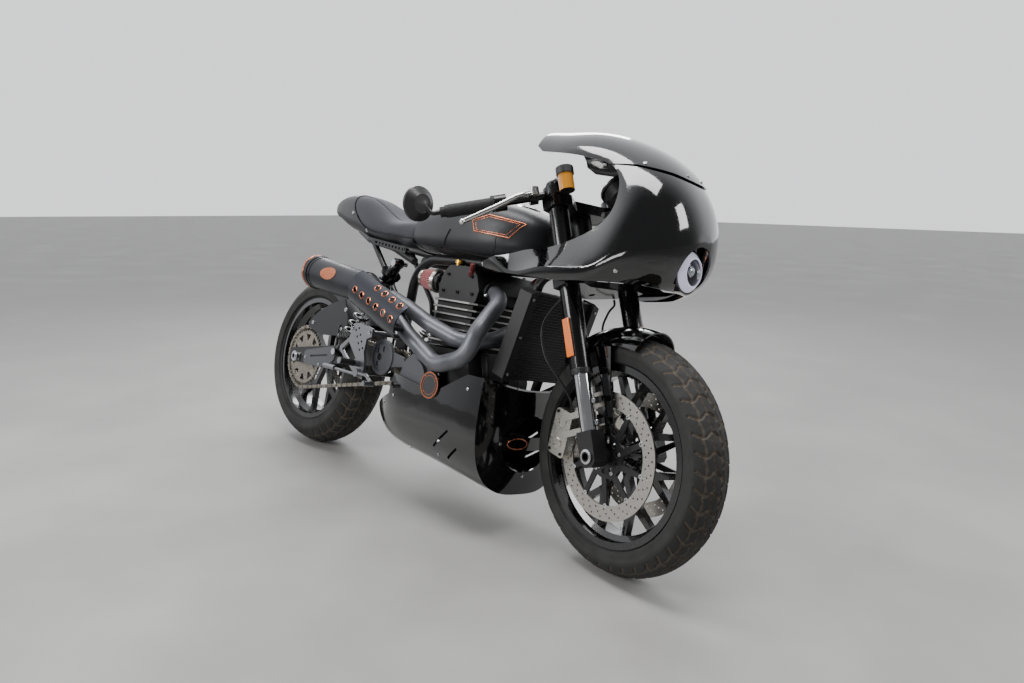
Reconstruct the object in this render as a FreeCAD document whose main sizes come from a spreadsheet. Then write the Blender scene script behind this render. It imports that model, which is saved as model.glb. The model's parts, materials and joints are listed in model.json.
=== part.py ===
import FreeCAD, Part
import math
import os
import Sketcher
from FreeCAD import Placement, Rotation, Vector

# Cafe racer motorcycle with a full front fairing, parked on its side stand.
# Every piece is drawn in the frame of the upright motorcycle: X forward, Y to the rider's left,
# Z up, with the origin on the ground midway between the axles. Steered pieces are drawn along
# the steering axis. The parked lean and the turned handlebars come last, as placements.

os.makedirs("parts", exist_ok=True)
doc = FreeCAD.newDocument("cafe_racer")

# Driving dimensions, in millimetres and degrees
SIZES = {
    "wheelbase": 1415,
    "rake_angle": 22.8,
    "trail_length": 92,
    "lean_angle": 13,
    "steer_angle": -9.5,
    "front_tyre_radius": 300,
    "front_tyre_width": 120,
    "front_crown_radius": 62,
    "rear_tyre_radius": 315,
    "rear_tyre_width": 160,
    "rear_crown_radius": 82,
    "bead_radius": 216,
    "rim_lip_radius": 228,
    "rim_lip_thickness": 6,
    "rim_drop": 14,
    "rim_wall": 5,
    "front_rim_width": 104,
    "rear_rim_width": 136,
    "spoke_pairs": 7,
    "spoke_thickness": 20,
    "spoke_width": 17,
    "spoke_spread": 13,
    "spoke_fork_radius": 105,
    "hub_radius": 34,
    "fit_gap": 0.3,
    "axle_radius": 12.5,
    "axle_bore": 9,
    "front_disc_radius": 160,
    "disc_band": 38,
    "disc_thickness": 5,
    "front_disc_offset": 63,
    "disc_arms": 10,
    "rear_disc_radius": 110,
    "rear_disc_offset": 84,
    "sprocket_radius": 104,
    "sprocket_teeth": 42,
    "sprocket_thickness": 8,
    "sprocket_offset": 97,
    "drive_sprocket_radius": 40,
    "chain_width": 16,
    "chain_height": 17,
    "fork_spread": 108,
    "fork_tube_radius": 27,
    "slider_radius": 22,
    "fork_tube_low": 212,
    "fork_tube_high": 724,
    "foot_top": 62,
    "foot_radius": 26,
    "lower_yoke_low": 436,
    "upper_yoke_low": 654,
    "yoke_thickness": 30,
    "stem_radius": 17,
    "stem_bore": 9,
    "stem_bore_depth": 60,
    "bar_height": 700,
    "bar_sweep": 33,
    "bar_drop": 5,
    "bar_length": 300,
    "bar_radius": 11,
    "grip_radius": 17,
    "grip_length": 128,
    "fender_radius": 322,
    "fender_wall": 4,
    "fender_width": 138,
    "fender_front_angle": 34,
    "fender_rear_angle": 20,
    "swingarm_pivot_back": 185,
    "swingarm_pivot_height": 395,
    "swingarm_spread": 122,
    "swingarm_width": 30,
    "shock_top_back": 165,
    "shock_top_height": 700,
    "shock_foot_back": 420,
    "shock_foot_height": 374,
    "shock_spread": 152,
    "shock_coil_radius": 30,
    "frame_tube_radius": 16,
    "rail_tube_radius": 13,
    "frame_spread": 95,
    "pivot_spread": 70,
    "engine_width": 250,
    "block_width": 290,
    "block_length": 190,
    "block_centre": 112,
    "block_low": 478,
    "fin_count": 7,
    "fin_pitch": 20,
    "fin_thickness": 7,
    "fin_depth": 16,
    "head_height": 100,
    "cover_radius": 88,
    "cover_depth": 60,
    "cover_centre": 44,
    "cover_height": 366,
    "radiator_front": 374,
    "radiator_lean": 13,
    "radiator_thickness": 44,
    "radiator_width": 250,
    "radiator_low": 431,
    "radiator_height": 252,
    "pan_front": 375,
    "pan_length": 606,
    "pan_low": 101,
    "pan_half_width": 198,
    "pan_wall": 4,
    "pan_bow": 23,
    "tank_front": 362,
    "tank_length": 527,
    "tank_low": 740,
    "tank_height": 182,
    "tank_half_width": 158,
    "seat_front": 166,
    "seat_half_width": 114,
    "seat_inset": 3,
    "tail_end": 805,
    "tail_wall": 4,
    "fairing_front": 822,
    "fairing_top": 1128,
    "fairing_low": 690,
    "fairing_half_width": 212,
    "fairing_wall": 4,
    "screen_lap": 3,
    "headlight_radius": 55,
    "headlight_height": 775,
    "header_radius": 24,
    "muffler_radius": 54,
    "muffler_length": 372,
    "muffler_side": 236,
    "guard_thickness": 3,
    "mirror_radius": 46,
    "stand_pivot_back": 205,
    "stand_pivot_side": 118,
    "stand_pivot_height": 252,
    "stand_foot_back": 150,
    "stand_foot_side": 318,
    "stand_tube_radius": 11,
}

sheet = doc.addObject("Spreadsheet::Sheet", "Sizes")
for row, (alias, amount) in enumerate(SIZES.items(), 1):
    sheet.set("A%d" % row, alias)
    sheet.set("B%d" % row, str(amount))
    sheet.setAlias("B%d" % row, alias)
doc.recompute()


class Size:
    """A size with its present value and the spreadsheet formula that gives it."""

    def __init__(self, value, formula):
        self.value = value
        self.formula = formula

    def __add__(self, other):
        return Size(self.value + number(other), "(%s + %s)" % (self.formula, text(other)))

    def __radd__(self, other):
        return Size(number(other) + self.value, "(%s + %s)" % (text(other), self.formula))

    def __sub__(self, other):
        return Size(self.value - number(other), "(%s - %s)" % (self.formula, text(other)))

    def __rsub__(self, other):
        return Size(number(other) - self.value, "(%s - %s)" % (text(other), self.formula))

    def __mul__(self, other):
        return Size(self.value * number(other), "(%s * %s)" % (self.formula, text(other)))

    def __rmul__(self, other):
        return Size(number(other) * self.value, "(%s * %s)" % (text(other), self.formula))

    def __truediv__(self, other):
        return Size(self.value / number(other), "(%s / %s)" % (self.formula, text(other)))

    def __neg__(self):
        return Size(-self.value, "(-1 * %s)" % self.formula)


def number(size):
    """The plain number of a size or of a number."""
    return size.value if isinstance(size, Size) else float(size)


def text(size):
    """The spreadsheet formula of a size or of a number."""
    return size.formula if isinstance(size, Size) else "%.6f" % size


def sine(angle):
    return Size(math.sin(math.radians(number(angle))), "sin(%s)" % text(angle))


def cosine(angle):
    return Size(math.cos(math.radians(number(angle))), "cos(%s)" % text(angle))


class Named:
    """Every driving dimension under its own name."""


size = Named()
for alias in SIZES:
    setattr(size, alias, Size(float(sheet.get(alias)), "Sizes." + alias))


# Where things are, worked out from the driving dimensions
front_axle = size.wheelbase / 2
rear_axle = -1 * size.wheelbase / 2
fork_offset = size.front_tyre_radius * sine(size.rake_angle) - size.trail_length * cosine(size.rake_angle)

RAKE = number(size.rake_angle)
# The head frame: its origin on the steering axis level with the front axle, Z up the axis, X forward.
head_origin = Vector(number(front_axle) - number(fork_offset) * math.cos(math.radians(RAKE)), 0,
                     number(size.front_tyre_radius) - number(fork_offset) * math.sin(math.radians(RAKE)))
HEAD = Placement(head_origin, Rotation(Vector(0, 1, 0), -RAKE))


def lowest_point(placement, centre, radius, crown):
    """Height of a leaning tyre's lowest point and its place along X."""
    axis = placement.Rotation.multVec(Vector(0, 1, 0))
    middle = placement.multVec(centre)
    slope = math.sqrt(1 - axis.z ** 2)
    reach = radius - crown
    return middle.z - reach * slope - crown, middle.x


def steered(angle):
    """The turn of the handlebars about the steering axis, in the upright frame."""
    return HEAD * Placement(Vector(0, 0, 0), Rotation(Vector(0, 0, 1), angle)) * HEAD.inverse()


SIDE = Vector(0, 1, 0)
STEER = steered(number(size.steer_angle))
front_centre = Vector(number(front_axle), 0, number(size.front_tyre_radius))
rear_centre = Vector(number(rear_axle), 0, number(size.rear_tyre_radius))


def parked():
    """Lean, pitch and lift that set both tyres on the ground."""
    lean = Placement(Vector(0, 0, 0), Rotation(Vector(1, 0, 0), -number(size.lean_angle)))
    park = lean
    for turn in range(6):
        front_low, front_at = lowest_point(park * STEER, front_centre, number(size.front_tyre_radius),
                                           number(size.front_crown_radius))
        rear_low, rear_at = lowest_point(park, rear_centre, number(size.rear_tyre_radius),
                                         number(size.rear_crown_radius))
        pitch = math.degrees(math.atan2(front_low - rear_low, front_at - rear_at))
        lift = -(rear_low - rear_at * math.tan(math.radians(pitch)))
        park = Placement(Vector(0, 0, lift), Rotation(Vector(0, 1, 0), pitch)) * park
    return park


PARK = parked()
GROUPS = {
    "chassis": PARK,
    "steering": PARK * STEER * HEAD,
    "front_wheel": PARK * STEER * Placement(front_centre, Rotation()),
    "rear_wheel": PARK * Placement(rear_centre, Rotation()),
}
# The radiator leans forward at the top, about the lower edge of its back.
radiator_hinge = Vector(number(size.radiator_front) - number(size.radiator_thickness), 0,
                        number(size.radiator_low))
RADIATOR = Placement(Vector(0, 0, 0), Rotation(Vector(0, 1, 0), number(size.radiator_lean)), radiator_hinge)
GROUPS["radiator"] = PARK * RADIATOR
PIECES = []


# Sketch and feature helpers
def new_body(name, group="chassis"):
    """A body that parks with its group, or one of a pair if it has no group."""
    body = doc.addObject("PartDesign::Body", name)
    body.Label = name
    if group:
        PIECES.append((body, group))
    return body


def pair(name, bodies, group="chassis"):
    """Like pieces of one group under one name."""
    compound = doc.addObject("Part::Compound", name)
    compound.Label = name
    compound.Links = bodies
    PIECES.append((compound, group))
    return compound


def sketch(body, name, plane, loops, shift=0, along=None):
    """Closed loops on an origin plane: lists of corners, or (x, y, radius) for a circle."""
    drawn = body.newObject("Sketcher::SketchObject", name)
    support = [feature for feature in body.Origin.OriginFeatures if feature.Role == plane][0]
    drawn.AttachmentSupport = [(support, "")]
    drawn.MapMode = "FlatFace"
    if isinstance(shift, Size) or shift:
        drawn.setExpression("AttachmentOffset.Base.z", text(shift))
    for loop in loops:
        if isinstance(loop, tuple):
            add_circle(drawn, loop)
        else:
            add_corners(drawn, loop)
    return drawn


def bind(drawn, kind, place, size_value):
    """One constraint held by a spreadsheet formula."""
    index = drawn.addConstraint(Sketcher.Constraint(kind, *place, number(size_value)))
    drawn.setExpression("Constraints[%d]" % index, text(size_value))


def add_circle(drawn, circle):
    across, up, radius = circle
    item = drawn.addGeometry(Part.Circle(Vector(number(across), number(up), 0), Vector(0, 0, 1),
                                         number(radius)), False)
    bind(drawn, "DistanceX", (item, 3), across)
    bind(drawn, "DistanceY", (item, 3), up)
    bind(drawn, "Radius", (item,), radius)


def add_corners(drawn, corners):
    first = drawn.GeometryCount
    count = len(corners)
    for index, corner in enumerate(corners):
        following = corners[(index + 1) % count]
        start = Vector(number(corner[0]), number(corner[1]), 0)
        end = Vector(number(following[0]), number(following[1]), 0)
        drawn.addGeometry(Part.LineSegment(start, end), False)
    for index, corner in enumerate(corners):
        line = first + index
        drawn.addConstraint(Sketcher.Constraint("Coincident", line, 2, first + (index + 1) % count, 1))
        bind(drawn, "DistanceX", (line, 1), corner[0])
        bind(drawn, "DistanceY", (line, 1), corner[1])


def pad(body, name, profile, length, both_ways=True, backwards=False, pocket=False):
    """A pad or pocket of a sketch."""
    feature = body.newObject("PartDesign::Pocket" if pocket else "PartDesign::Pad", name)
    feature.Profile = profile
    feature.setExpression("Length", text(length))
    feature.Midplane = both_ways
    feature.Reversed = backwards
    return feature


def revolve(body, name, profile, axis="H_Axis", groove=False):
    """A full turn of a sketch about one of its own axes."""
    feature = body.newObject("PartDesign::Groove" if groove else "PartDesign::Revolution", name)
    feature.Profile = profile
    feature.ReferenceAxis = (profile, [axis])
    feature.Angle = 360
    return feature


def polar(body, name, originals, profile, count):
    """Copies of features about the normal of a sketch."""
    pattern = body.newObject("PartDesign::PolarPattern", name)
    pattern.Originals = originals
    pattern.Axis = (profile, ["N_Axis"])
    pattern.Angle = 360
    pattern.setExpression("Occurrences", text(count))
    body.Tip = pattern
    return pattern


def line_pattern(body, name, originals, profile, axis, length, count):
    """Copies of features along a line."""
    pattern = body.newObject("PartDesign::LinearPattern", name)
    pattern.Originals = originals
    pattern.Direction = (profile, [axis])
    pattern.setExpression("Length", text(length))
    pattern.setExpression("Occurrences", text(count))
    body.Tip = pattern
    return pattern


def round_edges(body, name, base, radius, wanted):
    """A fillet on the edges that a test picks."""
    doc.recompute()
    edges = ["Edge%d" % (i + 1) for i, edge in enumerate(base.Shape.Edges) if wanted(edge)]
    feature = body.newObject("PartDesign::Fillet", name)
    feature.Base = (base, edges)
    feature.setExpression("Radius", text(radius))
    return feature


def runs_along(direction):
    """A test for straight edges along a direction."""
    def test(edge):
        if edge.Curve.TypeId != "Part::GeomLine":
            return False
        return abs(edge.Curve.Direction.dot(direction)) > 0.999
    return test


def piece(name, shape, group="chassis"):
    """A sub-part whose shape is worked out here from the sheet's sizes."""
    feature = doc.addObject("Part::Feature", name)
    feature.Label = name
    feature.Shape = shape
    PIECES.append((feature, group))
    return feature


# Shape helpers for bent tubes and for curved skins
def rounded_path(points, bend):
    """Straight runs joined by tangent arcs."""
    edges = []
    start = points[0]
    for index in range(1, len(points) - 1):
        corner = points[index]
        back = (points[index - 1] - corner).normalize()
        ahead = (points[index + 1] - corner).normalize()
        turn = math.pi - back.getAngle(ahead)
        room = 0.45 * min((points[index - 1] - corner).Length, (points[index + 1] - corner).Length)
        trim = min(bend * math.tan(turn / 2), room)
        radius = trim / math.tan(turn / 2)
        inward = (back + ahead).normalize()
        middle = corner + inward * (math.hypot(radius, trim) - radius)
        entry = corner + back * trim
        leave = corner + ahead * trim
        edges.append(Part.LineSegment(start, entry).toShape())
        edges.append(Part.Arc(entry, middle, leave).toShape())
        start = leave
    edges.append(Part.LineSegment(start, points[-1]).toShape())
    return Part.Wire(edges)


def tube(points, radius, bend=60):
    """A round bar along a bent path."""
    path = rounded_path(points, bend)
    heading = (points[1] - points[0]).normalize()
    ring = Part.Wire(Part.makeCircle(radius, points[0], heading))
    return path.makePipeShell([ring], True, True)


def rod(start, end, radius):
    """A straight round bar."""
    return Part.makeCylinder(radius, (end - start).Length, start, end - start)


def cone(start, end, first_radius, last_radius):
    """A straight tapered bar."""
    return Part.makeCone(first_radius, last_radius, (end - start).Length, start, end - start)


def mirrored(shape):
    """The same shape on the other side of the motorcycle."""
    return shape.mirror(Vector(0, 0, 0), Vector(0, 1, 0))


def joined(shapes):
    """One solid from overlapping ones."""
    return shapes[0].multiFuse(shapes[1:]).removeSplitter()


def oval(across, half_width, low, high, waist, fullness):
    """A closed smooth section across the motorcycle: widest at the waist height."""
    points = []
    count = 20
    for step in range(count):
        angle = 2 * math.pi * step / count
        side = math.copysign(abs(math.cos(angle)) ** fullness, math.cos(angle))
        lift = math.copysign(abs(math.sin(angle)) ** fullness, math.sin(angle))
        height = waist + lift * ((high - waist) if lift >= 0 else (waist - low))
        points.append(Vector(across, half_width * side, height))
    curve = Part.BSplineCurve()
    curve.interpolate(points, True)
    return Part.Wire(curve.toShape())


def skin(sections, fullness=0.8):
    """A smooth solid through ovals given as (x, half width, low, high, waist)."""
    rings = [oval(*section, fullness) for section in sections]
    return Part.makeLoft(rings, True, False)


def side_prism(corners, width, smooth=False):
    """A slab across the motorcycle with the given outline seen from the side."""
    points = [Vector(x, -width, z) for x, z in corners]
    if smooth:
        curve = Part.BSplineCurve()
        curve.interpolate(points, True)
        wire = Part.Wire(curve.toShape())
    else:
        wire = Part.makePolygon(points + [points[0]])
    return Part.Face(wire).extrude(Vector(0, 2 * width, 0))


def flowing_prism(flow, corners, width):
    """A slab across the motorcycle: one smooth edge, closed by straight lines through the corners."""
    curve = Part.BSplineCurve()
    curve.interpolate([Vector(x, -width, z) for x, z in flow])
    closing = [flow[-1]] + corners + [flow[0]]
    straight = Part.makePolygon([Vector(x, -width, z) for x, z in closing])
    return Part.Face(Part.Wire([curve.toShape()] + straight.Edges)).extrude(Vector(0, 2 * width, 0))


# Cast wheels: a hub, Y-shaped spokes and a drop-centre rim, turned about the axle
def wheel(name, group, rim_width, hub_length):
    body = new_body(name, group)
    half = rim_width / 2
    hub = sketch(body, name + "_hub", "YZ_Plane", [[
        (hub_length / -2, size.axle_radius + size.fit_gap),
        (hub_length / 2, size.axle_radius + size.fit_gap),
        (hub_length / 2, size.hub_radius - 8),
        (hub_length / 4, size.hub_radius),
        (hub_length / -4, size.hub_radius),
        (hub_length / -2, size.hub_radius - 8)]])
    revolve(body, name + "_hub_turn", hub)
    inner = size.bead_radius - size.rim_drop - size.rim_wall
    root = size.hub_radius - 5
    spoke = sketch(body, name + "_spoke", "XZ_Plane", [[
        (size.spoke_width * -0.55, root * 0.9),
        (size.spoke_width * 0.55, root * 0.9),
        (size.spoke_width * 0.5, size.spoke_fork_radius),
        (inner * sine(size.spoke_spread) + size.spoke_width * 0.5, inner * cosine(size.spoke_spread) + 2),
        (inner * sine(size.spoke_spread) - size.spoke_width * 0.35, inner * cosine(size.spoke_spread) + 4),
        (0 * inner, size.spoke_fork_radius + size.spoke_width * 1.5),
        (inner * sine(size.spoke_spread) * -1 + size.spoke_width * 0.35,
         inner * cosine(size.spoke_spread) + 4),
        (inner * sine(size.spoke_spread) * -1 - size.spoke_width * 0.5,
         inner * cosine(size.spoke_spread) + 2),
        (size.spoke_width * -0.5, size.spoke_fork_radius)]])
    arm = pad(body, name + "_spoke_pad", spoke, size.spoke_thickness)
    polar(body, name + "_spokes", [arm], spoke, size.spoke_pairs)
    lip = size.rim_lip_thickness
    rim = sketch(body, name + "_rim", "YZ_Plane", [[
        (half * -1, size.rim_lip_radius),
        (half * -1, size.bead_radius - size.rim_wall),
        (half * -1 + 24, size.bead_radius - size.rim_wall),
        (half * -0.4, inner),
        (half * 0.4, inner),
        (half - 24, size.bead_radius - size.rim_wall),
        (half, size.bead_radius - size.rim_wall),
        (half, size.rim_lip_radius),
        (half - lip, size.rim_lip_radius),
        (half - lip, size.bead_radius),
        (half - 22, size.bead_radius),
        (half * 0.36, inner + size.rim_wall),
        (half * -0.36, inner + size.rim_wall),
        (half * -1 + 22, size.bead_radius),
        (half * -1 + lip, size.bead_radius),
        (half * -1 + lip, size.rim_lip_radius)]])
    revolve(body, name + "_rim_turn", rim)
    return body


TYRE_FACETS = 64


def tyre(name, group, radius, width, crown, rim_width):
    """A ring of flat facets: crowned tread, bulging sidewall and bead feet on the rim seats."""
    half = number(width) / 2
    outer = number(radius)
    rim_half = number(rim_width) / 2
    gap = number(size.fit_gap)
    inner_height = number(size.bead_radius) + 26
    # between its edges a facet lies nearer to the axle, so what rests on the rim starts further out
    sag = 1 / math.cos(math.pi / TYRE_FACETS)
    lip_radius = (number(size.rim_lip_radius) + gap) * sag
    foot_out = rim_half - number(size.rim_lip_thickness) - gap
    foot_in = foot_out - 14
    seat = (number(size.bead_radius) + gap) * sag
    # the tread is an arc from shoulder to shoulder, in bands; one of their edges meets the ground
    shoulder_side = half * 0.97
    shoulder_drop = number(crown) * (1 - math.cos(math.radians(62)))
    arc_radius = (shoulder_side ** 2 + shoulder_drop ** 2) / (2 * shoulder_drop)
    shoulder = math.asin(shoulder_side / arc_radius)
    tilt = math.asin(abs(GROUPS[group].Rotation.multVec(SIDE).z))
    turns = [0, tilt] + [tilt + (shoulder - tilt) * part / 3 for part in (1, 2, 3)]
    tread = [(arc_radius * math.sin(turn), outer - arc_radius * (1 - math.cos(turn))) for turn in turns]
    waist = ((lip_radius + tread[-1][1]) / 2 + 3)
    right = tread + [(half, waist), (foot_out + 2, lip_radius), (foot_out, lip_radius), (foot_out, seat),
                     (foot_in, seat), (foot_in, inner_height)]
    left = [(-across, height) for across, height in reversed(right[1:])]
    profile = [Vector(0, across, height) for across, height in right + left]
    # flat facets round the wheel, one of them meeting the ground with its edge
    down = GROUPS[group].Rotation.inverted().multVec(Vector(0, 0, -1))
    first = math.atan2(down.x, down.z)
    faces = []
    for facet in range(TYRE_FACETS):
        turns = [Rotation(SIDE, math.degrees(first) + 360 / TYRE_FACETS * step) for step in (facet,
                                                                                             facet + 1)]
        for start, end in zip(profile, profile[1:] + profile[:1]):
            corners = [turns[0].multVec(start), turns[0].multVec(end), turns[1].multVec(end),
                       turns[1].multVec(start)]
            faces.append(Part.Face(Part.makePolygon(corners + [corners[0]])))
    return piece(name, Part.makeSolid(Part.makeShell(faces)), group)


disc_seat = size.disc_thickness / 2 + size.fit_gap
front_hub_length = 2 * (size.front_disc_offset - disc_seat)
rear_hub_length = 2 * (size.rear_disc_offset - disc_seat)
wheel("front_rim", "front_wheel", size.front_rim_width, front_hub_length)
wheel("rear_rim", "rear_wheel", size.rear_rim_width, rear_hub_length)
tyre("front_tyre", "front_wheel", size.front_tyre_radius, size.front_tyre_width,
     size.front_crown_radius, size.front_rim_width)
tyre("rear_tyre", "rear_wheel", size.rear_tyre_radius, size.rear_tyre_width,
     size.rear_crown_radius, size.rear_rim_width)


# Brake discs: a drilled band carried on a ring by short arms, bolted to the end of the hub
def brake_disc(name, group, radius, offset):
    body = new_body(name, group)
    carrier = size.hub_radius + 22
    shift = offset * -1
    ring = sketch(body, name + "_ring", "XZ_Plane", [(0, 0, carrier), (0, 0, size.hub_radius - 14)], shift)
    pad(body, name + "_ring_pad", ring, size.disc_thickness)
    band_low = radius - size.disc_band
    arm = sketch(body, name + "_arm", "XZ_Plane", [[
        (-9, carrier - 4), (9, carrier - 4), (6, band_low + 4), (-6, band_low + 4)]], shift)
    arm_pad = pad(body, name + "_arm_pad", arm, size.disc_thickness)
    polar(body, name + "_arms", [arm_pad], arm, size.disc_arms)
    band = sketch(body, name + "_band", "XZ_Plane", [(0, 0, radius), (0, 0, band_low)], shift)
    pad(body, name + "_band_pad", band, size.disc_thickness)
    return body


pair("front_discs", [
    brake_disc("front_disc_right", "", size.front_disc_radius, size.front_disc_offset * -1),
    brake_disc("front_disc_left", "", size.front_disc_radius, size.front_disc_offset)], "front_wheel")
brake_disc("rear_disc", "rear_wheel", size.rear_disc_radius, size.rear_disc_offset)


# Final drive on the right: a toothed sprocket with windows, carried on a drum at the hub
sprocket = new_body("rear_sprocket", "rear_wheel")
drum_length = size.sprocket_offset - size.rear_disc_offset + disc_seat
drum = sketch(sprocket, "sprocket_drum", "XZ_Plane",
              [(0, 0, size.hub_radius + 24), (0, 0, size.hub_radius - 14)],
              size.sprocket_offset - drum_length / 2 + size.fit_gap)
pad(sprocket, "sprocket_drum_pad", drum, drum_length)
plate = sketch(sprocket, "sprocket_plate", "XZ_Plane",
               [(0, 0, size.sprocket_radius - 6), (0, 0, size.hub_radius - 14)], size.sprocket_offset)
pad(sprocket, "sprocket_plate_pad", plate, size.sprocket_thickness)
tooth_half = size.sprocket_radius * 3.14159 / size.sprocket_teeth / 2
tooth = sketch(sprocket, "sprocket_tooth", "XZ_Plane", [[
    (tooth_half * -1, size.sprocket_radius - 8), (tooth_half, size.sprocket_radius - 8),
    (tooth_half * 0.4, size.sprocket_radius), (tooth_half * -0.4, size.sprocket_radius)]],
    size.sprocket_offset)
tooth_pad = pad(sprocket, "sprocket_tooth_pad", tooth, size.sprocket_thickness * 0.8)
polar(sprocket, "sprocket_teeth", [tooth_pad], tooth, size.sprocket_teeth)
window_low = size.hub_radius + 30
window = sketch(sprocket, "sprocket_window", "XZ_Plane", [[
    (-5, window_low), (5, window_low), (15, size.sprocket_radius - 18), (-15, size.sprocket_radius - 18)]],
    size.sprocket_offset)
window_cut = pad(sprocket, "sprocket_window_cut", window, size.sprocket_thickness * 3, pocket=True)
polar(sprocket, "sprocket_windows", [window_cut], window, size.disc_arms)


# Fork: upside-down legs with sliders, feet that clamp the axle, and two yokes on a stem
def both_sides(make):
    """The right-hand shape and its mirror as one compound."""
    shape = make(-1)
    return Part.makeCompound([shape, mirrored(shape)])


leg_x = fork_offset
outer_gap = size.fork_tube_radius + size.fit_gap

fork_tubes = []
fork_feet = []
for side, word in ((-1, "right"), (1, "left")):
    leg = new_body("fork_tube_" + word, "")
    fork_tubes.append(leg)
    ring = sketch(leg, "tube_ring_" + word, "XY_Plane",
                  [(leg_x, size.fork_spread * side, size.fork_tube_radius)], size.fork_tube_low)
    pad(leg, "tube_pad_" + word, ring, size.fork_tube_high - size.fork_tube_low, both_ways=False)
    bore = sketch(leg, "tube_bore_" + word, "XY_Plane",
                  [(leg_x, size.fork_spread * side, size.slider_radius + size.fit_gap)],
                  size.fork_tube_low)
    pad(leg, "tube_bore_cut_" + word, bore, size.fork_tube_low, both_ways=False, backwards=True, pocket=True)

    foot = new_body("fork_foot_" + word, "")
    fork_feet.append(foot)
    slider = sketch(foot, "slider_ring_" + word, "XY_Plane",
                    [(leg_x, size.fork_spread * side, size.slider_radius)], size.foot_top - 10)
    pad(foot, "slider_pad_" + word, slider, size.fork_tube_low * 2 - size.foot_top - 20, both_ways=False)
    clamp = sketch(foot, "foot_clamp_" + word, "XZ_Plane", [[
        (leg_x - size.foot_radius, size.foot_top),
        (leg_x - size.foot_radius, size.foot_top * 0.35),
        (leg_x - size.foot_radius * 0.95, size.foot_radius * -0.55),
        (leg_x - size.foot_radius * 0.5, size.foot_radius * -1),
        (leg_x + size.foot_radius * 0.5, size.foot_radius * -1),
        (leg_x + size.foot_radius * 0.95, size.foot_radius * -0.55),
        (leg_x + size.foot_radius, size.foot_top * 0.35),
        (leg_x + size.foot_radius, size.foot_top)]], size.fork_spread * -side)
    pad(foot, "foot_pad_" + word, clamp, size.slider_radius * 2)
    hole = sketch(foot, "foot_hole_" + word, "XZ_Plane",
                  [(leg_x, 0, size.axle_radius + size.fit_gap)], size.fork_spread * -side)
    pad(foot, "foot_hole_cut_" + word, hole, size.slider_radius * 3, pocket=True)
pair("fork_tubes", fork_tubes, "steering")
pair("fork_feet", fork_feet, "steering")


def yoke(name, low, thickness, nose):
    """A triple clamp: a waisted plate bored for the two legs and the stem."""
    body = new_body(name, "steering")
    eye = size.fork_tube_radius + 12
    plate = sketch(body, name + "_plate", "XY_Plane", [[
        (leg_x + nose, size.fork_spread * -0.5), (leg_x + nose, size.fork_spread * 0.5),
        (leg_x + eye, size.fork_spread * 0.85), (leg_x + eye * 0.6, size.fork_spread + eye * 0.9),
        (leg_x - eye * 0.6, size.fork_spread + eye * 0.9), (leg_x - eye, size.fork_spread * 0.85),
        (size.stem_radius * -1.9, size.stem_radius * 1.6), (size.stem_radius * -1.9,
                                                            size.stem_radius * -1.6),
        (leg_x - eye, size.fork_spread * -0.85), (leg_x - eye * 0.6, size.fork_spread * -1 - eye * 0.9),
        (leg_x + eye * 0.6, size.fork_spread * -1 - eye * 0.9), (leg_x + eye, size.fork_spread * -0.85)]],
        low)
    pad(body, name + "_pad", plate, thickness, both_ways=False)
    holes = sketch(body, name + "_bores", "XY_Plane", [
        (leg_x, size.fork_spread, outer_gap), (leg_x, size.fork_spread * -1, outer_gap)], low)
    pad(body, name + "_bore_cut", holes, thickness, both_ways=False, backwards=True, pocket=True)
    return body


yoke("upper_yoke", size.upper_yoke_low, size.yoke_thickness, size.yoke_thickness * 0.4)
lower = yoke("lower_yoke", size.lower_yoke_low, size.yoke_thickness, size.yoke_thickness * 0.7)
stem = sketch(lower, "stem_ring", "XY_Plane", [(0, 0, size.stem_radius)],
              size.lower_yoke_low + size.yoke_thickness * 0.5)
pad(lower, "stem_pad", stem, size.upper_yoke_low - size.lower_yoke_low - size.yoke_thickness * 0.5
    - size.fit_gap, both_ways=False)

stem_hole = sketch(lower, "stem_bore", "XY_Plane", [(0, 0, size.stem_bore)],
                   size.lower_yoke_low + size.stem_bore_depth)
pad(lower, "stem_bore_cut", stem_hole, size.stem_bore_depth + 1, both_ways=False, pocket=True)

# Front axle: a hollow spindle through both feet, with spacers that centre the hub
spindle = new_body("front_axle", "steering")
spindle_half = size.fork_spread + size.slider_radius + 6
disc_face = size.front_disc_offset + size.disc_thickness / 2
shaft = sketch(spindle, "spindle_section", "XZ_Plane", [
    (leg_x, 0, size.axle_radius), (leg_x, 0, size.axle_bore)])
pad(spindle, "spindle_pad", shaft, spindle_half * 2)
spacer_length = size.fork_spread - size.slider_radius - disc_face - size.fit_gap * 2
for side, word in ((-1, "right"), (1, "left")):
    spacer = sketch(spindle, "spacer_" + word, "XZ_Plane", [
        (leg_x, 0, size.axle_radius + 7), (leg_x, 0, size.axle_radius - 1)],
        (disc_face + spacer_length / 2 + size.fit_gap) * -side)
    pad(spindle, "spacer_pad_" + word, spacer, spacer_length)


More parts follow.
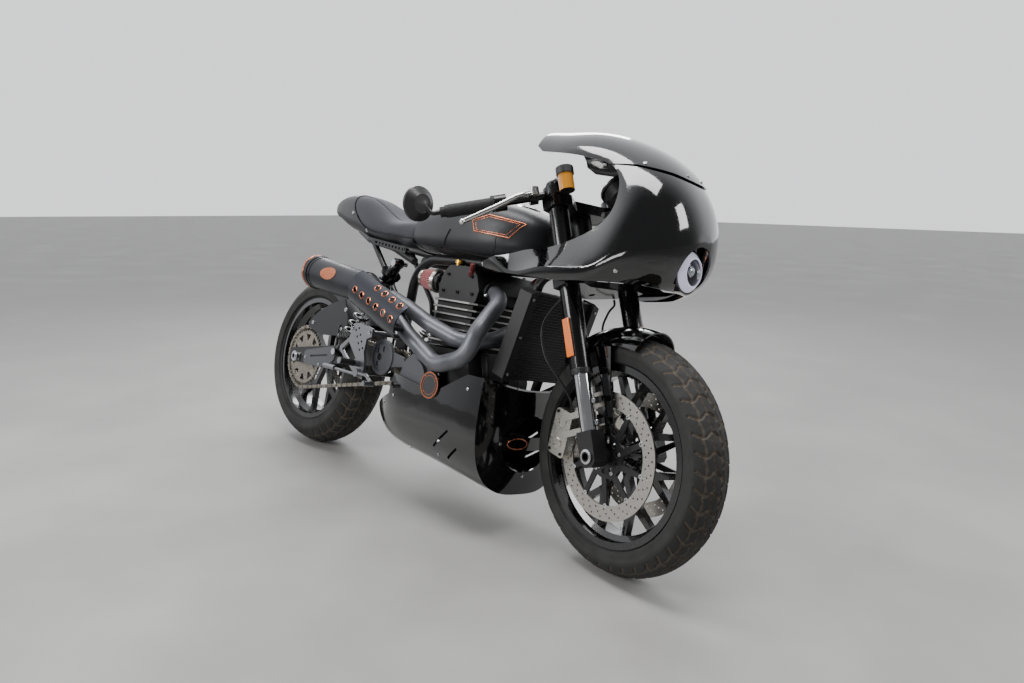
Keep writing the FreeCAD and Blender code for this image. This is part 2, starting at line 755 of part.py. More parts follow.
# Front fender: a short curved blade over the tyre with a stay plate to each fork foot
def front_fender():
    middle = Vector(number(fork_offset), 0, 0)
    radius = number(size.fender_radius)
    half = number(size.fender_width) / 2
    wall = number(size.fender_wall)
    sag = 26
    def section(grow):
        return Part.Face(Part.Wire([
            Part.Arc(Vector(middle.x, -half - grow, radius - sag - 22),
                     Vector(middle.x, 0, radius + grow),
                     Vector(middle.x, half + grow, radius - sag - 22)).toShape(),
            Part.LineSegment(Vector(middle.x, half + grow, radius - sag - 22),
                             Vector(middle.x, -half - grow, radius - sag - 22)).toShape()]))
    front = number(size.fender_front_angle)
    rear = number(size.fender_rear_angle)
    start = Placement(middle, Rotation(Vector(0, 1, 0), -rear)) * Placement(middle * -1, Rotation())
    blades = []
    for grow in (wall, 0):
        face = section(grow)
        face.Placement = start * face.Placement
        blades.append(face.revolve(middle, Vector(0, 1, 0), front + rear))
    blade = blades[0].cut(blades[1])
    parts = [blade]
    inner = number(size.fork_spread) - number(size.fork_tube_radius) - 3
    for side in (-1, 1):
        stay = Part.makePolygon([
            Vector(middle.x + 34, side * inner, radius * 0.2),
            Vector(middle.x + 54, side * inner, radius * 0.2),
            Vector(middle.x + 62, side * inner, radius * 0.5),
            Vector(middle.x + 84, side * inner, radius * 0.8),
            Vector(middle.x + 30, side * inner, radius * 0.84),
            Vector(middle.x + 34, side * inner, radius * 0.5),
            Vector(middle.x + 34, side * inner, radius * 0.2)])
        parts.append(Part.Face(stay).extrude(Vector(0, -side * wall, 0)))
        shoulder = Part.makePolygon([
            Vector(middle.x + 30, side * inner, radius * 0.84),
            Vector(middle.x + 84, side * inner, radius * 0.8),
            Vector(middle.x + 84, side * (half + 1), radius * 0.8 + 10),
            Vector(middle.x + 30, side * (half + 1), radius * 0.84 + 10),
            Vector(middle.x + 30, side * inner, radius * 0.84)])
        parts.append(Part.Face(shoulder).extrude(Vector(0, 0, -wall)))
        for height in (0.25, 0.42):
            lug = Part.makeBox(40, 22, 14, Vector(middle.x + 8, side * (inner + 11) - 11,
                                                  radius * height - 7))
            parts.append(lug)
    blade = joined(parts)
    for side in (-1, 1):
        root = Vector(middle.x, side * number(size.fork_spread), 0)
        blade = blade.cut(Part.makeCylinder(number(size.slider_radius) + 0.3, 400, root))
        blade = blade.cut(Part.makeCylinder(number(size.fork_tube_radius) + 0.3, 900,
                                            root + Vector(0, 0, number(size.fork_tube_low) - 0.3)))
    return blade


piece("front_fender", front_fender(), "steering")


# Front brakes: radial four-piston callipers straddling each disc behind the fork feet
def front_calliper(side):
    reach = number(size.front_disc_radius)
    middle = side * number(size.front_disc_offset)
    slot = number(size.disc_thickness) + 3
    depth = 62
    angle = math.radians(148)
    centre = Vector(number(fork_offset) + (reach - 10) * math.cos(angle), middle,
                    (reach - 10) * math.sin(angle))
    block = Part.makeBox(64, depth, 124, Vector(-32, -depth / 2, -62))
    block = block.makeFillet(12, [edge for edge in block.Edges if abs(edge.Curve.Direction.y) > 0.5])
    block.Placement = Placement(centre, Rotation(Vector(0, 1, 0), 32))
    gap = Part.makeCylinder(reach + 6, slot, Vector(number(fork_offset), middle - slot / 2, 0),
                            Vector(0, 1, 0))
    shapes = [block.cut(gap)]
    for height in (62, 104):
        lug = Part.makeBox(96, 16, 16, Vector(number(fork_offset) - 108,
                                              side * (number(size.fork_spread) - 16) - 8,
                                              height))
        shapes.append(lug)
    leg = rod(Vector(number(fork_offset), side * number(size.fork_spread), -40),
              Vector(number(fork_offset), side * number(size.fork_spread), 400),
              number(size.foot_radius) + 0.3)
    foot = Part.makeBox(2 * number(size.foot_radius) + 0.6, 2 * number(size.slider_radius) + 0.6, 200,
                        Vector(number(fork_offset) - number(size.foot_radius) - 0.3,
                               side * number(size.fork_spread) - number(size.slider_radius) - 0.3, -138))
    return joined(shapes).cut(foot).cut(rod(Vector(number(fork_offset), side * number(size.fork_spread), 0),
        Vector(number(fork_offset), side * number(size.fork_spread), 300), number(size.slider_radius) + 0.3))


piece("front_callipers", both_sides(front_calliper), "steering")


# Handlebars: separate clip-ons clamped to the legs above the upper yoke, swept back and down
BAR_HEIGHT = number(size.bar_height)
sweep = math.radians(number(size.bar_sweep))
drop = math.radians(number(size.bar_drop))
bar_way = Vector(-math.sin(sweep) * math.cos(drop), -math.cos(sweep) * math.cos(drop), -math.sin(drop))
bar_root = Vector(number(leg_x), -number(size.fork_spread), BAR_HEIGHT)
bar_start = bar_root + bar_way * (number(size.fork_tube_radius) + 4)
bar_end = bar_root + bar_way * number(size.bar_length)
grip_start = bar_end - bar_way * number(size.grip_length)


def clip_on(side):
    collar = Part.makeCylinder(number(size.fork_tube_radius) + 9, 26, bar_root - Vector(0, 0, 13))
    bar = rod(bar_start, bar_end, number(size.bar_radius))
    shape = joined([collar, bar])
    bore = Part.makeCylinder(number(outer_gap), 60, bar_root - Vector(0, 0, 30))
    return shape.cut(bore)


piece("clip_on_bars", both_sides(clip_on), "steering")


def grip(side):
    sleeve = rod(grip_start, bar_end, number(size.grip_radius))
    flange = rod(grip_start, grip_start + bar_way * 5, number(size.grip_radius) + 5)
    plug = rod(bar_end, bar_end + bar_way * 14, number(size.bar_radius) + 3)
    bore = rod(grip_start - bar_way * 2, bar_end, number(size.bar_radius) + number(size.fit_gap))
    return joined([sleeve, flange, plug]).cut(bore)


piece("grips", both_sides(grip), "steering")

lever_ahead = Vector(math.cos(sweep), -math.sin(sweep), 0)
perch = bar_root + bar_way * 64


def control(side):
    bore = rod(bar_start, bar_end, number(size.bar_radius) + number(size.fit_gap))
    clamp = rod(perch - bar_way * 11, perch + bar_way * 11, number(size.bar_radius) + 9)
    housing = rod(grip_start - bar_way * 34, grip_start - bar_way * 2, number(size.bar_radius) + 12)
    pivot = perch + lever_ahead * 38 + Vector(0, 0, -2)
    neck = rod(perch + lever_ahead * 6, pivot, 10)
    tip = pivot + bar_way * 196 - lever_ahead * 10 + Vector(0, 0, -46)
    blade = tube([pivot, pivot + bar_way * 40 + lever_ahead * 14 + Vector(0, 0, -8),
                  pivot + bar_way * 110 + lever_ahead * 6 + Vector(0, 0, -28), tip], 6.5, 60)
    ball = Part.makeSphere(8.5, tip)
    hub = Part.makeCylinder(12, 22, pivot - Vector(0, 0, 11))
    return joined([clamp, housing, neck, blade, ball, hub]).cut(bore)


piece("control_levers", both_sides(control), "steering")

# Brake fluid reservoir on a stalk from the right clip-on's collar, and a mirror on each bar end
reservoir_foot = bar_root + Vector(77, -34, -47)


def reservoir():
    cup = Part.makeCylinder(20, 44, reservoir_foot + Vector(0, 0, 14))
    cap = Part.makeCylinder(23, 20, reservoir_foot + Vector(0, 0, 58))
    stalk_foot = bar_root + Vector(26, -22, 13.3)
    stalk = tube([stalk_foot, stalk_foot + Vector(0, 0, 12), reservoir_foot + Vector(-6, 2, 40)], 5, 8)
    return joined([cup, cap, stalk])


piece("brake_reservoir", reservoir(), "steering")


def bar_mirror(side):
    tip = bar_end + bar_way * 14.3
    stalk = tube([tip, tip + bar_way * 26, tip + bar_way * 44 + Vector(10, 0, 26)], 6, 20)
    centre = tip + bar_way * 58 + Vector(10, 0, 30)
    face = Vector(-0.92, -0.10, 0.38)
    shell = cone(centre + face * -16, centre, number(size.mirror_radius) * 0.55, number(size.mirror_radius))
    rim = rod(centre, centre + face * 8, number(size.mirror_radius))
    return joined([stalk, shell, rim])


piece("bar_end_mirrors", both_sides(bar_mirror), "steering")


# Amber reflectors on brackets beside the fork tubes
def reflector(side):
    out = number(size.fork_tube_radius) + number(size.fit_gap)
    foot = Vector(number(leg_x), -number(size.fork_spread) - out, 300)
    plate = Part.makeBox(24, 5, 100, foot + Vector(-12, -5, -50))
    return plate.makeFillet(2, plate.Edges)


piece("fork_reflectors", both_sides(reflector), "steering")


# Brake hoses: held from each calliper up to the lower yoke
def brake_hose(side):
    return tube([Vector(-62, -70, 133), Vector(-56, -78, 166), Vector(-66, -98, 214), Vector(-90, -114, 268),
                 Vector(-98, -116, 330), Vector(-88, -110, 380), Vector(-40, -100, 412),
                 Vector(-14, -98, 420),
                 Vector(-14, -98, 435.7)], 3.2, 200)


piece("brake_hoses", both_sides(brake_hose), "steering")


# Frame: the head tube, two top tubes, two downtubes with lower cradle rails, and pivot plates
def along_head(height, forward=0.0, side=0.0):
    """A point given up the steering axis, in the upright frame."""
    return HEAD.multVec(Vector(forward, side, height))


TUBE = number(size.frame_tube_radius)
SPREAD = number(size.frame_spread)
pivot = Vector(-number(size.swingarm_pivot_back), 0, number(size.swingarm_pivot_height))
head_low = number(size.lower_yoke_low) + number(size.yoke_thickness) + number(size.fit_gap)
head_high = number(size.upper_yoke_low) - number(size.fit_gap)
PLATES = number(size.pivot_spread)
TOP_TUBES = number(size.tank_low) - 4
case_floor = number(size.block_low) - 236


def top_tube(side, radius):
    """One of the two tubes that run back under the tank and down to the swingarm pivot."""
    top = along_head(head_low + 70)
    return tube([top + SIDE * side * 12, Vector(top.x - 110, side * SPREAD * 0.5, TOP_TUBES + 4),
                 Vector(60, side * SPREAD * 0.8, TOP_TUBES), Vector(pivot.x + 25, side * (PLATES + 8),
                                                                    TOP_TUBES - 6),
                 Vector(pivot.x + 8, side * PLATES, pivot.z + 60)], radius, 110)


def head_barrel(grow=0.0):
    return rod(along_head(head_low), along_head(head_high), number(size.stem_radius) + 11 + grow)


def frame_backbone():
    shapes = [top_tube(side, TUBE) for side in (-1, 1)]
    shapes.append(rod(Vector(pivot.x + 42, -PLATES, TOP_TUBES - 13),
                      Vector(pivot.x + 42, PLATES, TOP_TUBES - 13),
                      TUBE - 3))
    return joined(shapes).cut(head_barrel(0.1))


def frame_cradle():
    low = along_head(head_low + 24)
    radius = TUBE - 2
    floor = case_floor - radius - 0.3
    slope = math.tan(math.radians(number(size.radiator_lean)))
    front = radiator_hinge.x - (radius + 0.3) / math.cos(math.radians(number(size.radiator_lean)))
    high = 730
    shapes = []
    for side in (-1, 1):
        shapes.append(tube([low + Vector(-24, side * 18, -4),
                            Vector(front + (high - radiator_hinge.z) * slope, side * PLATES, high),
                            Vector(front, side * PLATES, radiator_hinge.z),
                            Vector(front - 22, side * PLATES, floor + 100),
                            Vector(front - 110, side * PLATES, floor),
                            Vector(pivot.x + 60, side * PLATES, floor),
                            Vector(pivot.x + 14, side * PLATES, pivot.z - 80)], radius, 60))
    for across in (pivot.x + 105, front - 120):
        shapes.append(rod(Vector(across, -260, floor), Vector(across, 260, floor), TUBE - 8).common(
            pan_body(number(size.pan_wall) + 0.3)))
    return joined(shapes + pivot_plates() + stand_lug()).cut(frame_backbone()).cut(head_barrel(0.1))


def pivot_plates():
    """The plates that hold the swingarm's bolt, part of the cradle."""
    shapes = []
    for side in (-1, 1):
        middle = side * PLATES
        outline = Part.makePolygon([
            Vector(pivot.x + 26, middle, pivot.z + 84), Vector(pivot.x - 20, middle, pivot.z + 84),
            Vector(pivot.x - 30, middle, pivot.z), Vector(pivot.x - 18, middle, pivot.z - 92),
            Vector(pivot.x + 30, middle, pivot.z - 120), Vector(pivot.x + 36, middle, pivot.z - 40),
            Vector(pivot.x + 26, middle, pivot.z + 84)])
        shapes.append(Part.Face(outline).extrude(SIDE * 12).translated(SIDE * -6))
    reach = number(size.swingarm_spread) + number(size.swingarm_width) / 2 + 8
    axle = rod(Vector(pivot.x, -reach, pivot.z), Vector(pivot.x, reach, pivot.z), 10)
    return shapes + [axle]


def pan_body(shrink):
    """The belly pan's outer form, a keel, or its hollow if shrunk by the wall."""
    front = number(size.pan_front)
    length = number(size.pan_length)
    half = number(size.pan_half_width)
    sections = []
    # part of the length, part of the half width, rise of the floor; the hollow runs out at the back
    for part, wide, rise in ((0 if shrink == 0 else -0.01, 0.46, 84), (0.134, 0.76, 52), (0.282, 0.955, 35),
                             (0.447, 1, 27), (0.629, 1, 19), (0.81, 0.995, 8), (1.05, 0.945, -2)):
        sections.append((front - length * (1 - part), half * wide - shrink,
                         number(size.pan_low) + rise + shrink,
                         500, 380))
    return skin(sections, 0.62)


def pan_front_slab(depth):
    """A bowed slab across the motorcycle whose front is the belly pan's front face."""
    far = number(size.pan_half_width) * 1.5
    bow = number(size.pan_bow) * (far / (number(size.pan_half_width) * 0.96)) ** 2
    nose = number(size.pan_front)
    plan = Part.Wire([
        Part.Arc(Vector(nose - bow, -far, 0), Vector(nose, 0, 0), Vector(nose - bow, far, 0)).toShape(),
        Part.LineSegment(Vector(nose - bow, far, 0), Vector(nose - bow - depth, far, 0)).toShape(),
        Part.Arc(Vector(nose - bow - depth, far, 0), Vector(nose - depth, 0, 0),
                 Vector(nose - bow - depth, -far, 0)).toShape(),
        Part.LineSegment(Vector(nose - bow - depth, -far, 0), Vector(nose - bow, -far, 0)).toShape()])
    return Part.Face(plan).extrude(Vector(0, 0, 600))


def seat_rail(radius, with_struts=True):
    """Two rails under the seat with struts down to the pivot plates and a loop at the back."""
    high = number(size.tank_low)
    shapes = []
    for side in (-1, 1):
        shapes.append(tube([Vector(pivot.x + 4, side * (PLATES + 6), high - 20),
                            Vector(pivot.x - 105, side * 86, high + 18), Vector(-440, side * 80, high + 38),
                            Vector(-535, side * 60, high + 70)], radius, 80))
        if with_struts:
            shapes.append(tube([Vector(pivot.x - 6, side * PLATES, pivot.z + 66),
                                Vector(pivot.x - 60, side * 78, 600), Vector(-420, side * 81, high + 32)],
                               radius - 3, 80))
    shapes.append(rod(Vector(-530, -61, high + 68), Vector(-530, 61, high + 68), radius - 2))
    return joined(shapes)


# Side stand on the left: a leg on a tilted pivot with a foot flat on the ground
unpark = PARK.inverse()
stand_pivot = Vector(-number(size.stand_pivot_back), number(size.stand_pivot_side),
                     number(size.stand_pivot_height))
foot_ground = Vector(-number(size.stand_foot_back), number(size.stand_foot_side), 0)
foot_point = unpark.multVec(foot_ground)
ground_up = unpark.Rotation.multVec(Vector(0, 0, 1))
leg_way = (foot_point - stand_pivot).normalize()
folded_way = Vector(-0.985, 0.06, 0.06).normalize()
stand_axis = leg_way.cross(folded_way).normalize()


def side_stand():
    radius = number(size.stand_tube_radius)
    ankle = foot_point + ground_up * 12
    knee = stand_pivot + leg_way * 60
    shapes = [rod(stand_pivot + leg_way * 28, ankle, radius),
              rod(stand_pivot - stand_axis * 7, stand_pivot + stand_axis * 7, 27),
              rod(stand_pivot + leg_way * 24, knee, radius + 3),
              Part.makeCylinder(30, 8, foot_point, ground_up),
              rod(foot_point + ground_up * 2, ankle, radius)]
    bore = rod(stand_pivot - stand_axis * 30, stand_pivot + stand_axis * 30, 8.1)
    return joined(shapes).cut(bore)


def stand_lug():
    """A lug on the lower cradle rail with the stand's pivot bolt, part of the cradle."""
    cheek = rod(stand_pivot - stand_axis * 15, stand_pivot - stand_axis * 7.3, 20)
    bolt = rod(stand_pivot - stand_axis * 15, stand_pivot + stand_axis * 10, 8)
    cap = rod(stand_pivot + stand_axis * 7.3, stand_pivot + stand_axis * 13, 12)
    rail = Vector(stand_pivot.x + 84, PLATES + TUBE - 8, case_floor - TUBE + 2)
    arm = tube([stand_pivot - stand_axis * 11, stand_pivot - stand_axis * 11 + Vector(34, -10, -8), rail],
               11, 20)
    arm = arm.cut(rod(stand_pivot - stand_axis * 7.3, stand_pivot + stand_axis * 40, 40))
    return [cheek, bolt, cap, arm]


piece("head_tube", head_barrel().cut(rod(along_head(head_low - 1), along_head(head_high + 1),
                                         number(size.stem_radius) + 0.3)))
piece("frame_backbone", frame_backbone())
piece("frame_cradle", frame_cradle())
piece("seat_rail", seat_rail(number(size.rail_tube_radius)).cut(frame_backbone()).cut(
    Part.makeCompound(pivot_plates())))
piece("side_stand", side_stand())

# Engine: a plain heavy crankcase, finned barrels, the head with its cam cover, and side covers
case = new_body("crankcase")
case_bottom = size.block_low - 236
case_narrow = size.engine_width - 110
case_side = sketch(case, "case_side", "XZ_Plane", [[
    (size.block_centre - 240, 330), (size.block_centre - 215, 265), (size.block_centre - 150, case_bottom),
    (size.block_centre + 60, case_bottom), (size.block_centre + 125, 300), (size.block_centre + 132, 400),
    (size.block_centre + 110, size.block_low), (size.block_centre - 160, size.block_low),
    (size.block_centre - 232, 450)]])
case_pad = pad(case, "case_pad", case_side, case_narrow)
case_wide = sketch(case, "case_wide", "XZ_Plane", [[
    (size.block_centre - 160, 330), (size.block_centre - 130, 262), (size.block_centre + 60, 262),
    (size.block_centre + 112, 320), (size.block_centre + 112, 400),
    (size.block_centre + 84, size.block_low - 6), (size.block_centre - 110, size.block_low - 6),
    (size.block_centre - 156, 440)]])
pad(case, "case_wide_pad", case_wide, size.engine_width)

block = new_body("cylinder_block")
core_height = size.fin_pitch * size.fin_count
core = sketch(block, "core_plan", "XY_Plane", [[
    (size.block_centre - size.block_length / 2 + size.fin_depth, size.block_width / -2 + size.fin_depth),
    (size.block_centre + size.block_length / 2 - size.fin_depth, size.block_width / -2 + size.fin_depth),
    (size.block_centre + size.block_length / 2 - size.fin_depth, size.block_width / 2 - size.fin_depth),
    (size.block_centre - size.block_length / 2 + size.fin_depth, size.block_width / 2 - size.fin_depth)]],
    size.block_low)
pad(block, "core_pad", core, core_height, both_ways=False)
fin = sketch(block, "fin_plan", "XY_Plane", [[
    (size.block_centre - size.block_length / 2, size.block_width / -2 + 18),
    (size.block_centre - size.block_length / 2 + 18, size.block_width / -2),
    (size.block_centre + size.block_length / 2 - 18, size.block_width / -2),
    (size.block_centre + size.block_length / 2, size.block_width / -2 + 18),
    (size.block_centre + size.block_length / 2, size.block_width / 2 - 18),
    (size.block_centre + size.block_length / 2 - 18, size.block_width / 2),
    (size.block_centre - size.block_length / 2 + 18, size.block_width / 2),
    (size.block_centre - size.block_length / 2, size.block_width / 2 - 18)]],
    size.block_low + size.fin_pitch * 0.5)
fin_pad = pad(block, "fin_pad", fin, size.fin_thickness, both_ways=False)
line_pattern(block, "fins", [fin_pad], fin, "N_Axis", size.fin_pitch * (size.fin_count - 1), size.fin_count)

head_low_face = size.block_low + core_height
head = new_body("cylinder_head")
head_side = sketch(head, "head_side", "XZ_Plane", [[
    (size.block_centre - 82, head_low_face), (size.block_centre + 82, head_low_face),
    (size.block_centre + 90, head_low_face + size.head_height * 0.35),
    (size.block_centre + 72, head_low_face + size.head_height * 0.75),
    (size.block_centre + 48, head_low_face + size.head_height),
    (size.block_centre - 52, head_low_face + size.head_height),
    (size.block_centre - 76, head_low_face + size.head_height * 0.75),
    (size.block_centre - 88, head_low_face + size.head_height * 0.35)]])
head_pad = pad(head, "head_pad", head_side, size.block_width - 36)
round_edges(head, "head_rounding", head_pad, size.fin_depth * 0.4, runs_along(Vector(0, 1, 0)))


def side_cover(name, side, centre_x, centre_z, radius, depth, boss):
    """A round engine cover: a flange, a domed face and a raised boss."""
    body = new_body(name, "")
    inner = size.engine_width / 2
    axis_x = centre_x
    rim = sketch(body, name + "_flange", "XZ_Plane", [(axis_x, centre_z, radius)], inner * -side)
    rim_pad = pad(body, name + "_flange_pad", rim, depth * 0.45, both_ways=False, backwards=side > 0)
    dome = sketch(body, name + "_dome", "XZ_Plane", [(axis_x, centre_z, radius - 14)],
                  (inner + depth * 0.45) * -side)
    dome_pad = pad(body, name + "_dome_pad", dome, depth * 0.35, both_ways=False, backwards=side > 0)
    cap = sketch(body, name + "_boss", "XZ_Plane", [(axis_x, centre_z, radius * boss)],
                 (inner + depth * 0.8) * -side)
    cap_pad = pad(body, name + "_boss_pad", cap, depth * 0.2, both_ways=False, backwards=side > 0)
    return body


clutch = side_cover("clutch_cover", -1, size.cover_centre, size.cover_height, size.cover_radius,
                    size.cover_depth, 0.62)
alternator = side_cover("alternator_cover", 1, size.cover_centre + 30, size.cover_height - 6,
                        size.cover_radius - 18, size.cover_depth * 0.8, 0.55)
pair("engine_covers", [clutch, alternator])

# Gearbox sprocket, and its flat-backed round cover on the right with three vents, held by an ear
sprocket_x = size.swingarm_pivot_back * -1 + 62
sprocket_z = size.swingarm_pivot_height - 20
cover = new_body("sprocket_cover")
cover_side = size.swingarm_spread + size.swingarm_width / 2 + 4
cover_x = size.swingarm_pivot_back * -1 + 15
cover_z = size.swingarm_pivot_height + 2
stay_x = size.block_centre - 171
cover_face = sketch(cover, "sprocket_cover_face", "XZ_Plane", [(cover_x, cover_z, 58)], cover_side)
pad(cover, "sprocket_cover_pad", cover_face, 7, both_ways=False)
rim_face = sketch(cover, "sprocket_cover_rim", "XZ_Plane", [(cover_x, cover_z, 58), (cover_x, cover_z, 47)],
                  cover_side + 7)
pad(cover, "sprocket_cover_rim_pad", rim_face, 4, both_ways=False)
ear = sketch(cover, "sprocket_cover_ear", "XZ_Plane", [[
    (cover_x + 45, cover_z - 26), (stay_x, cover_z - 14), (stay_x + 10, cover_z), (stay_x, cover_z + 14),
    (cover_x + 45, cover_z + 26)]], cover_side)
pad(cover, "sprocket_cover_ear_pad", ear, 7, both_ways=False)
stay = sketch(cover, "sprocket_cover_stay", "XZ_Plane", [(stay_x, cover_z, 9)], cover_side)
pad(cover, "sprocket_cover_stay_pad", stay, cover_side - case_narrow / 2 - size.fit_gap,
    both_ways=False, backwards=True)
flat = sketch(cover, "sprocket_cover_flat", "XZ_Plane", [[
    (cover_x - 80, cover_z - 80), (cover_x - 52, cover_z - 80), (cover_x - 46, cover_z + 80),
    (cover_x - 80, cover_z + 80)]], cover_side)
pad(cover, "sprocket_cover_flat_cut", flat, 60, pocket=True)
for name, across, up in (("first", -26, 18), ("second", 2, 26), ("third", -22, -24)):
    vent = sketch(cover, "sprocket_cover_vent_" + name, "XZ_Plane", [[
        (cover_x + across - 4, cover_z + up - 9), (cover_x + across + 4, cover_z + up - 9),
        (cover_x + across + 4, cover_z + up + 9), (cover_x + across - 4, cover_z + up + 9)]], cover_side)
    pad(cover, "sprocket_cover_cut_" + name, vent, 60, pocket=True)
nut_room = sketch(cover, "sprocket_cover_nut_room", "XZ_Plane",
                  [(size.swingarm_pivot_back * -1, size.swingarm_pivot_height, 12)], cover_side)
pad(cover, "sprocket_cover_nut_cut", nut_room, 60, pocket=True)

# Radiator: a core between two side tanks, drawn upright, that leans with the downtubes
radiator = new_body("radiator", "radiator")
back = size.radiator_front - size.radiator_thickness
core_plan = sketch(radiator, "radiator_core", "YZ_Plane", [[
    (size.radiator_width / -2, size.radiator_low), (size.radiator_width / 2, size.radiator_low),
    (size.radiator_width / 2, size.radiator_low + size.radiator_height),
    (size.radiator_width / -2, size.radiator_low + size.radiator_height)]], back)
pad(radiator, "radiator_core_pad", core_plan, size.radiator_thickness * 0.7, both_ways=False)
for side, word in ((-1, "right"), (1, "left")):
    edge = size.radiator_width / 2 * side
    end_tank = sketch(radiator, "radiator_tank_" + word, "YZ_Plane", [[
        (edge - 4 * side, size.radiator_low - 6), (edge + 22 * side, size.radiator_low + 4),
        (edge + 22 * side, size.radiator_low + size.radiator_height - 4),
        (edge - 4 * side, size.radiator_low + size.radiator_height + 6)]], back - 2)
    pad(radiator, "radiator_tank_pad_" + word, end_tank, size.radiator_thickness + 2, both_ways=False)


# Belly pan: a thin keel-shaped shell under the engine, open at the top, with an oval mouth crossed by
# a bar in its front face, two slots in each side and a round plate on its right edge
def side_slot(start, end):
    """A straight slot 7 mm high through both sides."""
    run = Vector(end[0] - start[0], 0, end[1] - start[1])
    slot = Part.makeBox(run.Length, 600, 7, Vector(0, -300, -3.5))
    slot.Placement = Placement(Vector(start[0], 0, start[1]), Rotation(Vector(1, 0, 0), run))
    return slot


def belly_pan():
    front = number(size.pan_front)
    back = front - number(size.pan_length)
    half = number(size.pan_half_width)
    wall = number(size.pan_wall)
    sides = pan_body(0).cut(pan_body(wall)).common(pan_front_slab(2 * number(size.pan_length)))
    shell = sides.fuse(pan_body(0).common(pan_front_slab(wall)))
    outline = side_prism([
        (back - 5, 60), (front + 20, 60), (front + 20, 394), (front - 1, 395), (front - 21, 419),
        (front - 85, 419),
        (front - 186, 360), (front - 275, 352), (front - 409, 367), (front - 427, 300), (front - 489, 271),
        (back - 5, 219)], half + 40)
    mouth_middle = 245
    mouth = Part.Face(oval(front - 60, 96, mouth_middle - 82, mouth_middle + 82, mouth_middle, 1)).extrude(
        Vector(120, 0, 0))
    bar = Part.makeBox(200, 300, 38, Vector(front - 100, -150, mouth_middle - 19))
    slots = [side_slot((front - 131, 252), (front - 199, 191)),
             side_slot((front - 94, 209), (front - 141, 170))]
    stand_room = Part.makeBox(162, 240, 240, Vector(back - 29, 55, 205))
    plate = rod(Vector(front - 228, 1 - half, 362), Vector(front - 228, -5 - half, 362), 39)
    shell = shell.common(outline).cut(mouth.cut(bar)).cut(Part.makeCompound(slots + [stand_room]))
    return joined([shell, plate])


piece("belly_pan", belly_pan())


# Exhaust: a header from each port, brought together on the right, an upswept muffler and its guard
HEADER = number(size.header_radius)
MUFFLER_SIDE = number(size.muffler_side)
port_height = number(head_low_face) + 32
port_front = number(size.block_centre) + 90.4
muffler_front = Vector(-128, -MUFFLER_SIDE, 598)
muffler_way = Vector(-1, 0, 0.095).normalize()
muffler_end = muffler_front + muffler_way * number(size.muffler_length)


def headers():
    right = tube([Vector(port_front, -78, port_height), Vector(port_front + 26, -78, port_height),
                  Vector(port_front + 76, -112, port_height - 22),
                  Vector(port_front + 96, -196, port_height - 110), Vector(port_front + 84, -214, 462),
                  Vector(port_front - 26, -216, 424), Vector(40, -226, 492),
                  muffler_front - muffler_way * 30 - Vector(0, 0, 0), muffler_front], HEADER, 70)
    left = tube([Vector(port_front, 78, port_height), Vector(port_front + 64, 78, port_height),
                 Vector(port_front + 88, 20, port_height - 60), Vector(port_front + 78, -110, 520),
                 Vector(port_front + 28, -186, 500), Vector(110, -206, 532), Vector(20, -218, 566),
                 Vector(-60, -MUFFLER_SIDE + 6, 590)], HEADER - 1, 60)
    return joined([right, left])


piece("header_pipes", headers())


def muffler():
    radius = number(size.muffler_radius)
    neck = muffler_front + muffler_way * 60
    shapes = [cone(muffler_front, neck, HEADER + 6, radius - 4),
              cone(neck, muffler_end - muffler_way * 26, radius - 4, radius),
              rod(muffler_end - muffler_way * 26, muffler_end, radius + 3)]
    shape = joined(shapes)
    hollow = cone(muffler_end - muffler_way * 60, muffler_end + muffler_way, radius - 22, radius - 6)
    bore = rod(muffler_front - muffler_way, muffler_front + muffler_way * 22, HEADER + 0.3)
    return shape.cut(hollow).cut(bore)


piece("muffler", muffler())


def muffler_guard():
    """A curved perforated shield on the outside of the pipes and the muffler's neck."""
    wall = number(size.guard_thickness)
    radius = number(size.muffler_radius) + 12
    start = Vector(70, -MUFFLER_SIDE, 520)
    end = Vector(-190, -MUFFLER_SIDE, 606)
    way = (end - start).normalize()
    length = (end - start).Length
    outer = Part.makeCylinder(radius, length, start, way)
    shell = outer.cut(Part.makeCylinder(radius - wall, length, start, way))
    keep = Part.makeBox(600, radius, 400, Vector(-400, -MUFFLER_SIDE - radius - 2, 380))
    inside = Part.makeBox(600, radius * 0.6, 400, Vector(-400, -MUFFLER_SIDE - radius * 0.55, 380))
    shell = shell.common(keep.cut(inside))
    holes = []
    for index in range(6):
        at = start + way * (26 + index * 42)
        holes.append(Part.makeCylinder(9, 60, at + Vector(0, -radius - 20, 0), Vector(0, 1, 0)))
    posts = [rod(Vector(-178, -MUFFLER_SIDE - number(size.muffler_radius) + 9, 602),
                 Vector(-178, -MUFFLER_SIDE - radius + 1, 602), 6),
             rod(Vector(44, -250.6, 502), Vector(44, -MUFFLER_SIDE - radius + 8, 502), 6)]
    return joined([shell.cut(Part.makeCompound(holes))] + posts).cut(muffler().fuse(headers()))


piece("muffler_guard", muffler_guard())


# Tank: a boxy solid skin over the top tubes, flat at the back against the seat
TANK_LOW = number(size.tank_low)
TANK_HALF = number(size.tank_half_width)


def tank():
    front = number(size.tank_front)
    length = number(size.tank_length)
    high = number(size.tank_height)
    # part of the length, part of the half width, rise of the floor, part of the height
    stations = [
        (0, 0.39, 60, 0.670), (0.023, 0.53, 38, 0.736), (0.070, 0.71, 22, 0.813), (0.156, 0.88, 8, 0.907),
        (0.26, 0.97, 1, 0.973), (0.459, 1.0, 2, 1.0), (0.649, 0.96, 6, 0.962), (0.839, 0.85, 16, 0.868),
        (0.972, 0.74, 25, 0.747), (1.0, 0.70, 29, 0.714)]
    sections = []
    for part, wide, rise, tall in stations:
        low = TANK_LOW + rise
        top = TANK_LOW + high * tall
        sections.append((front - length * part, TANK_HALF * wide, low, top, low + (top - low) * 0.42))
    return skin(sections, 0.58)


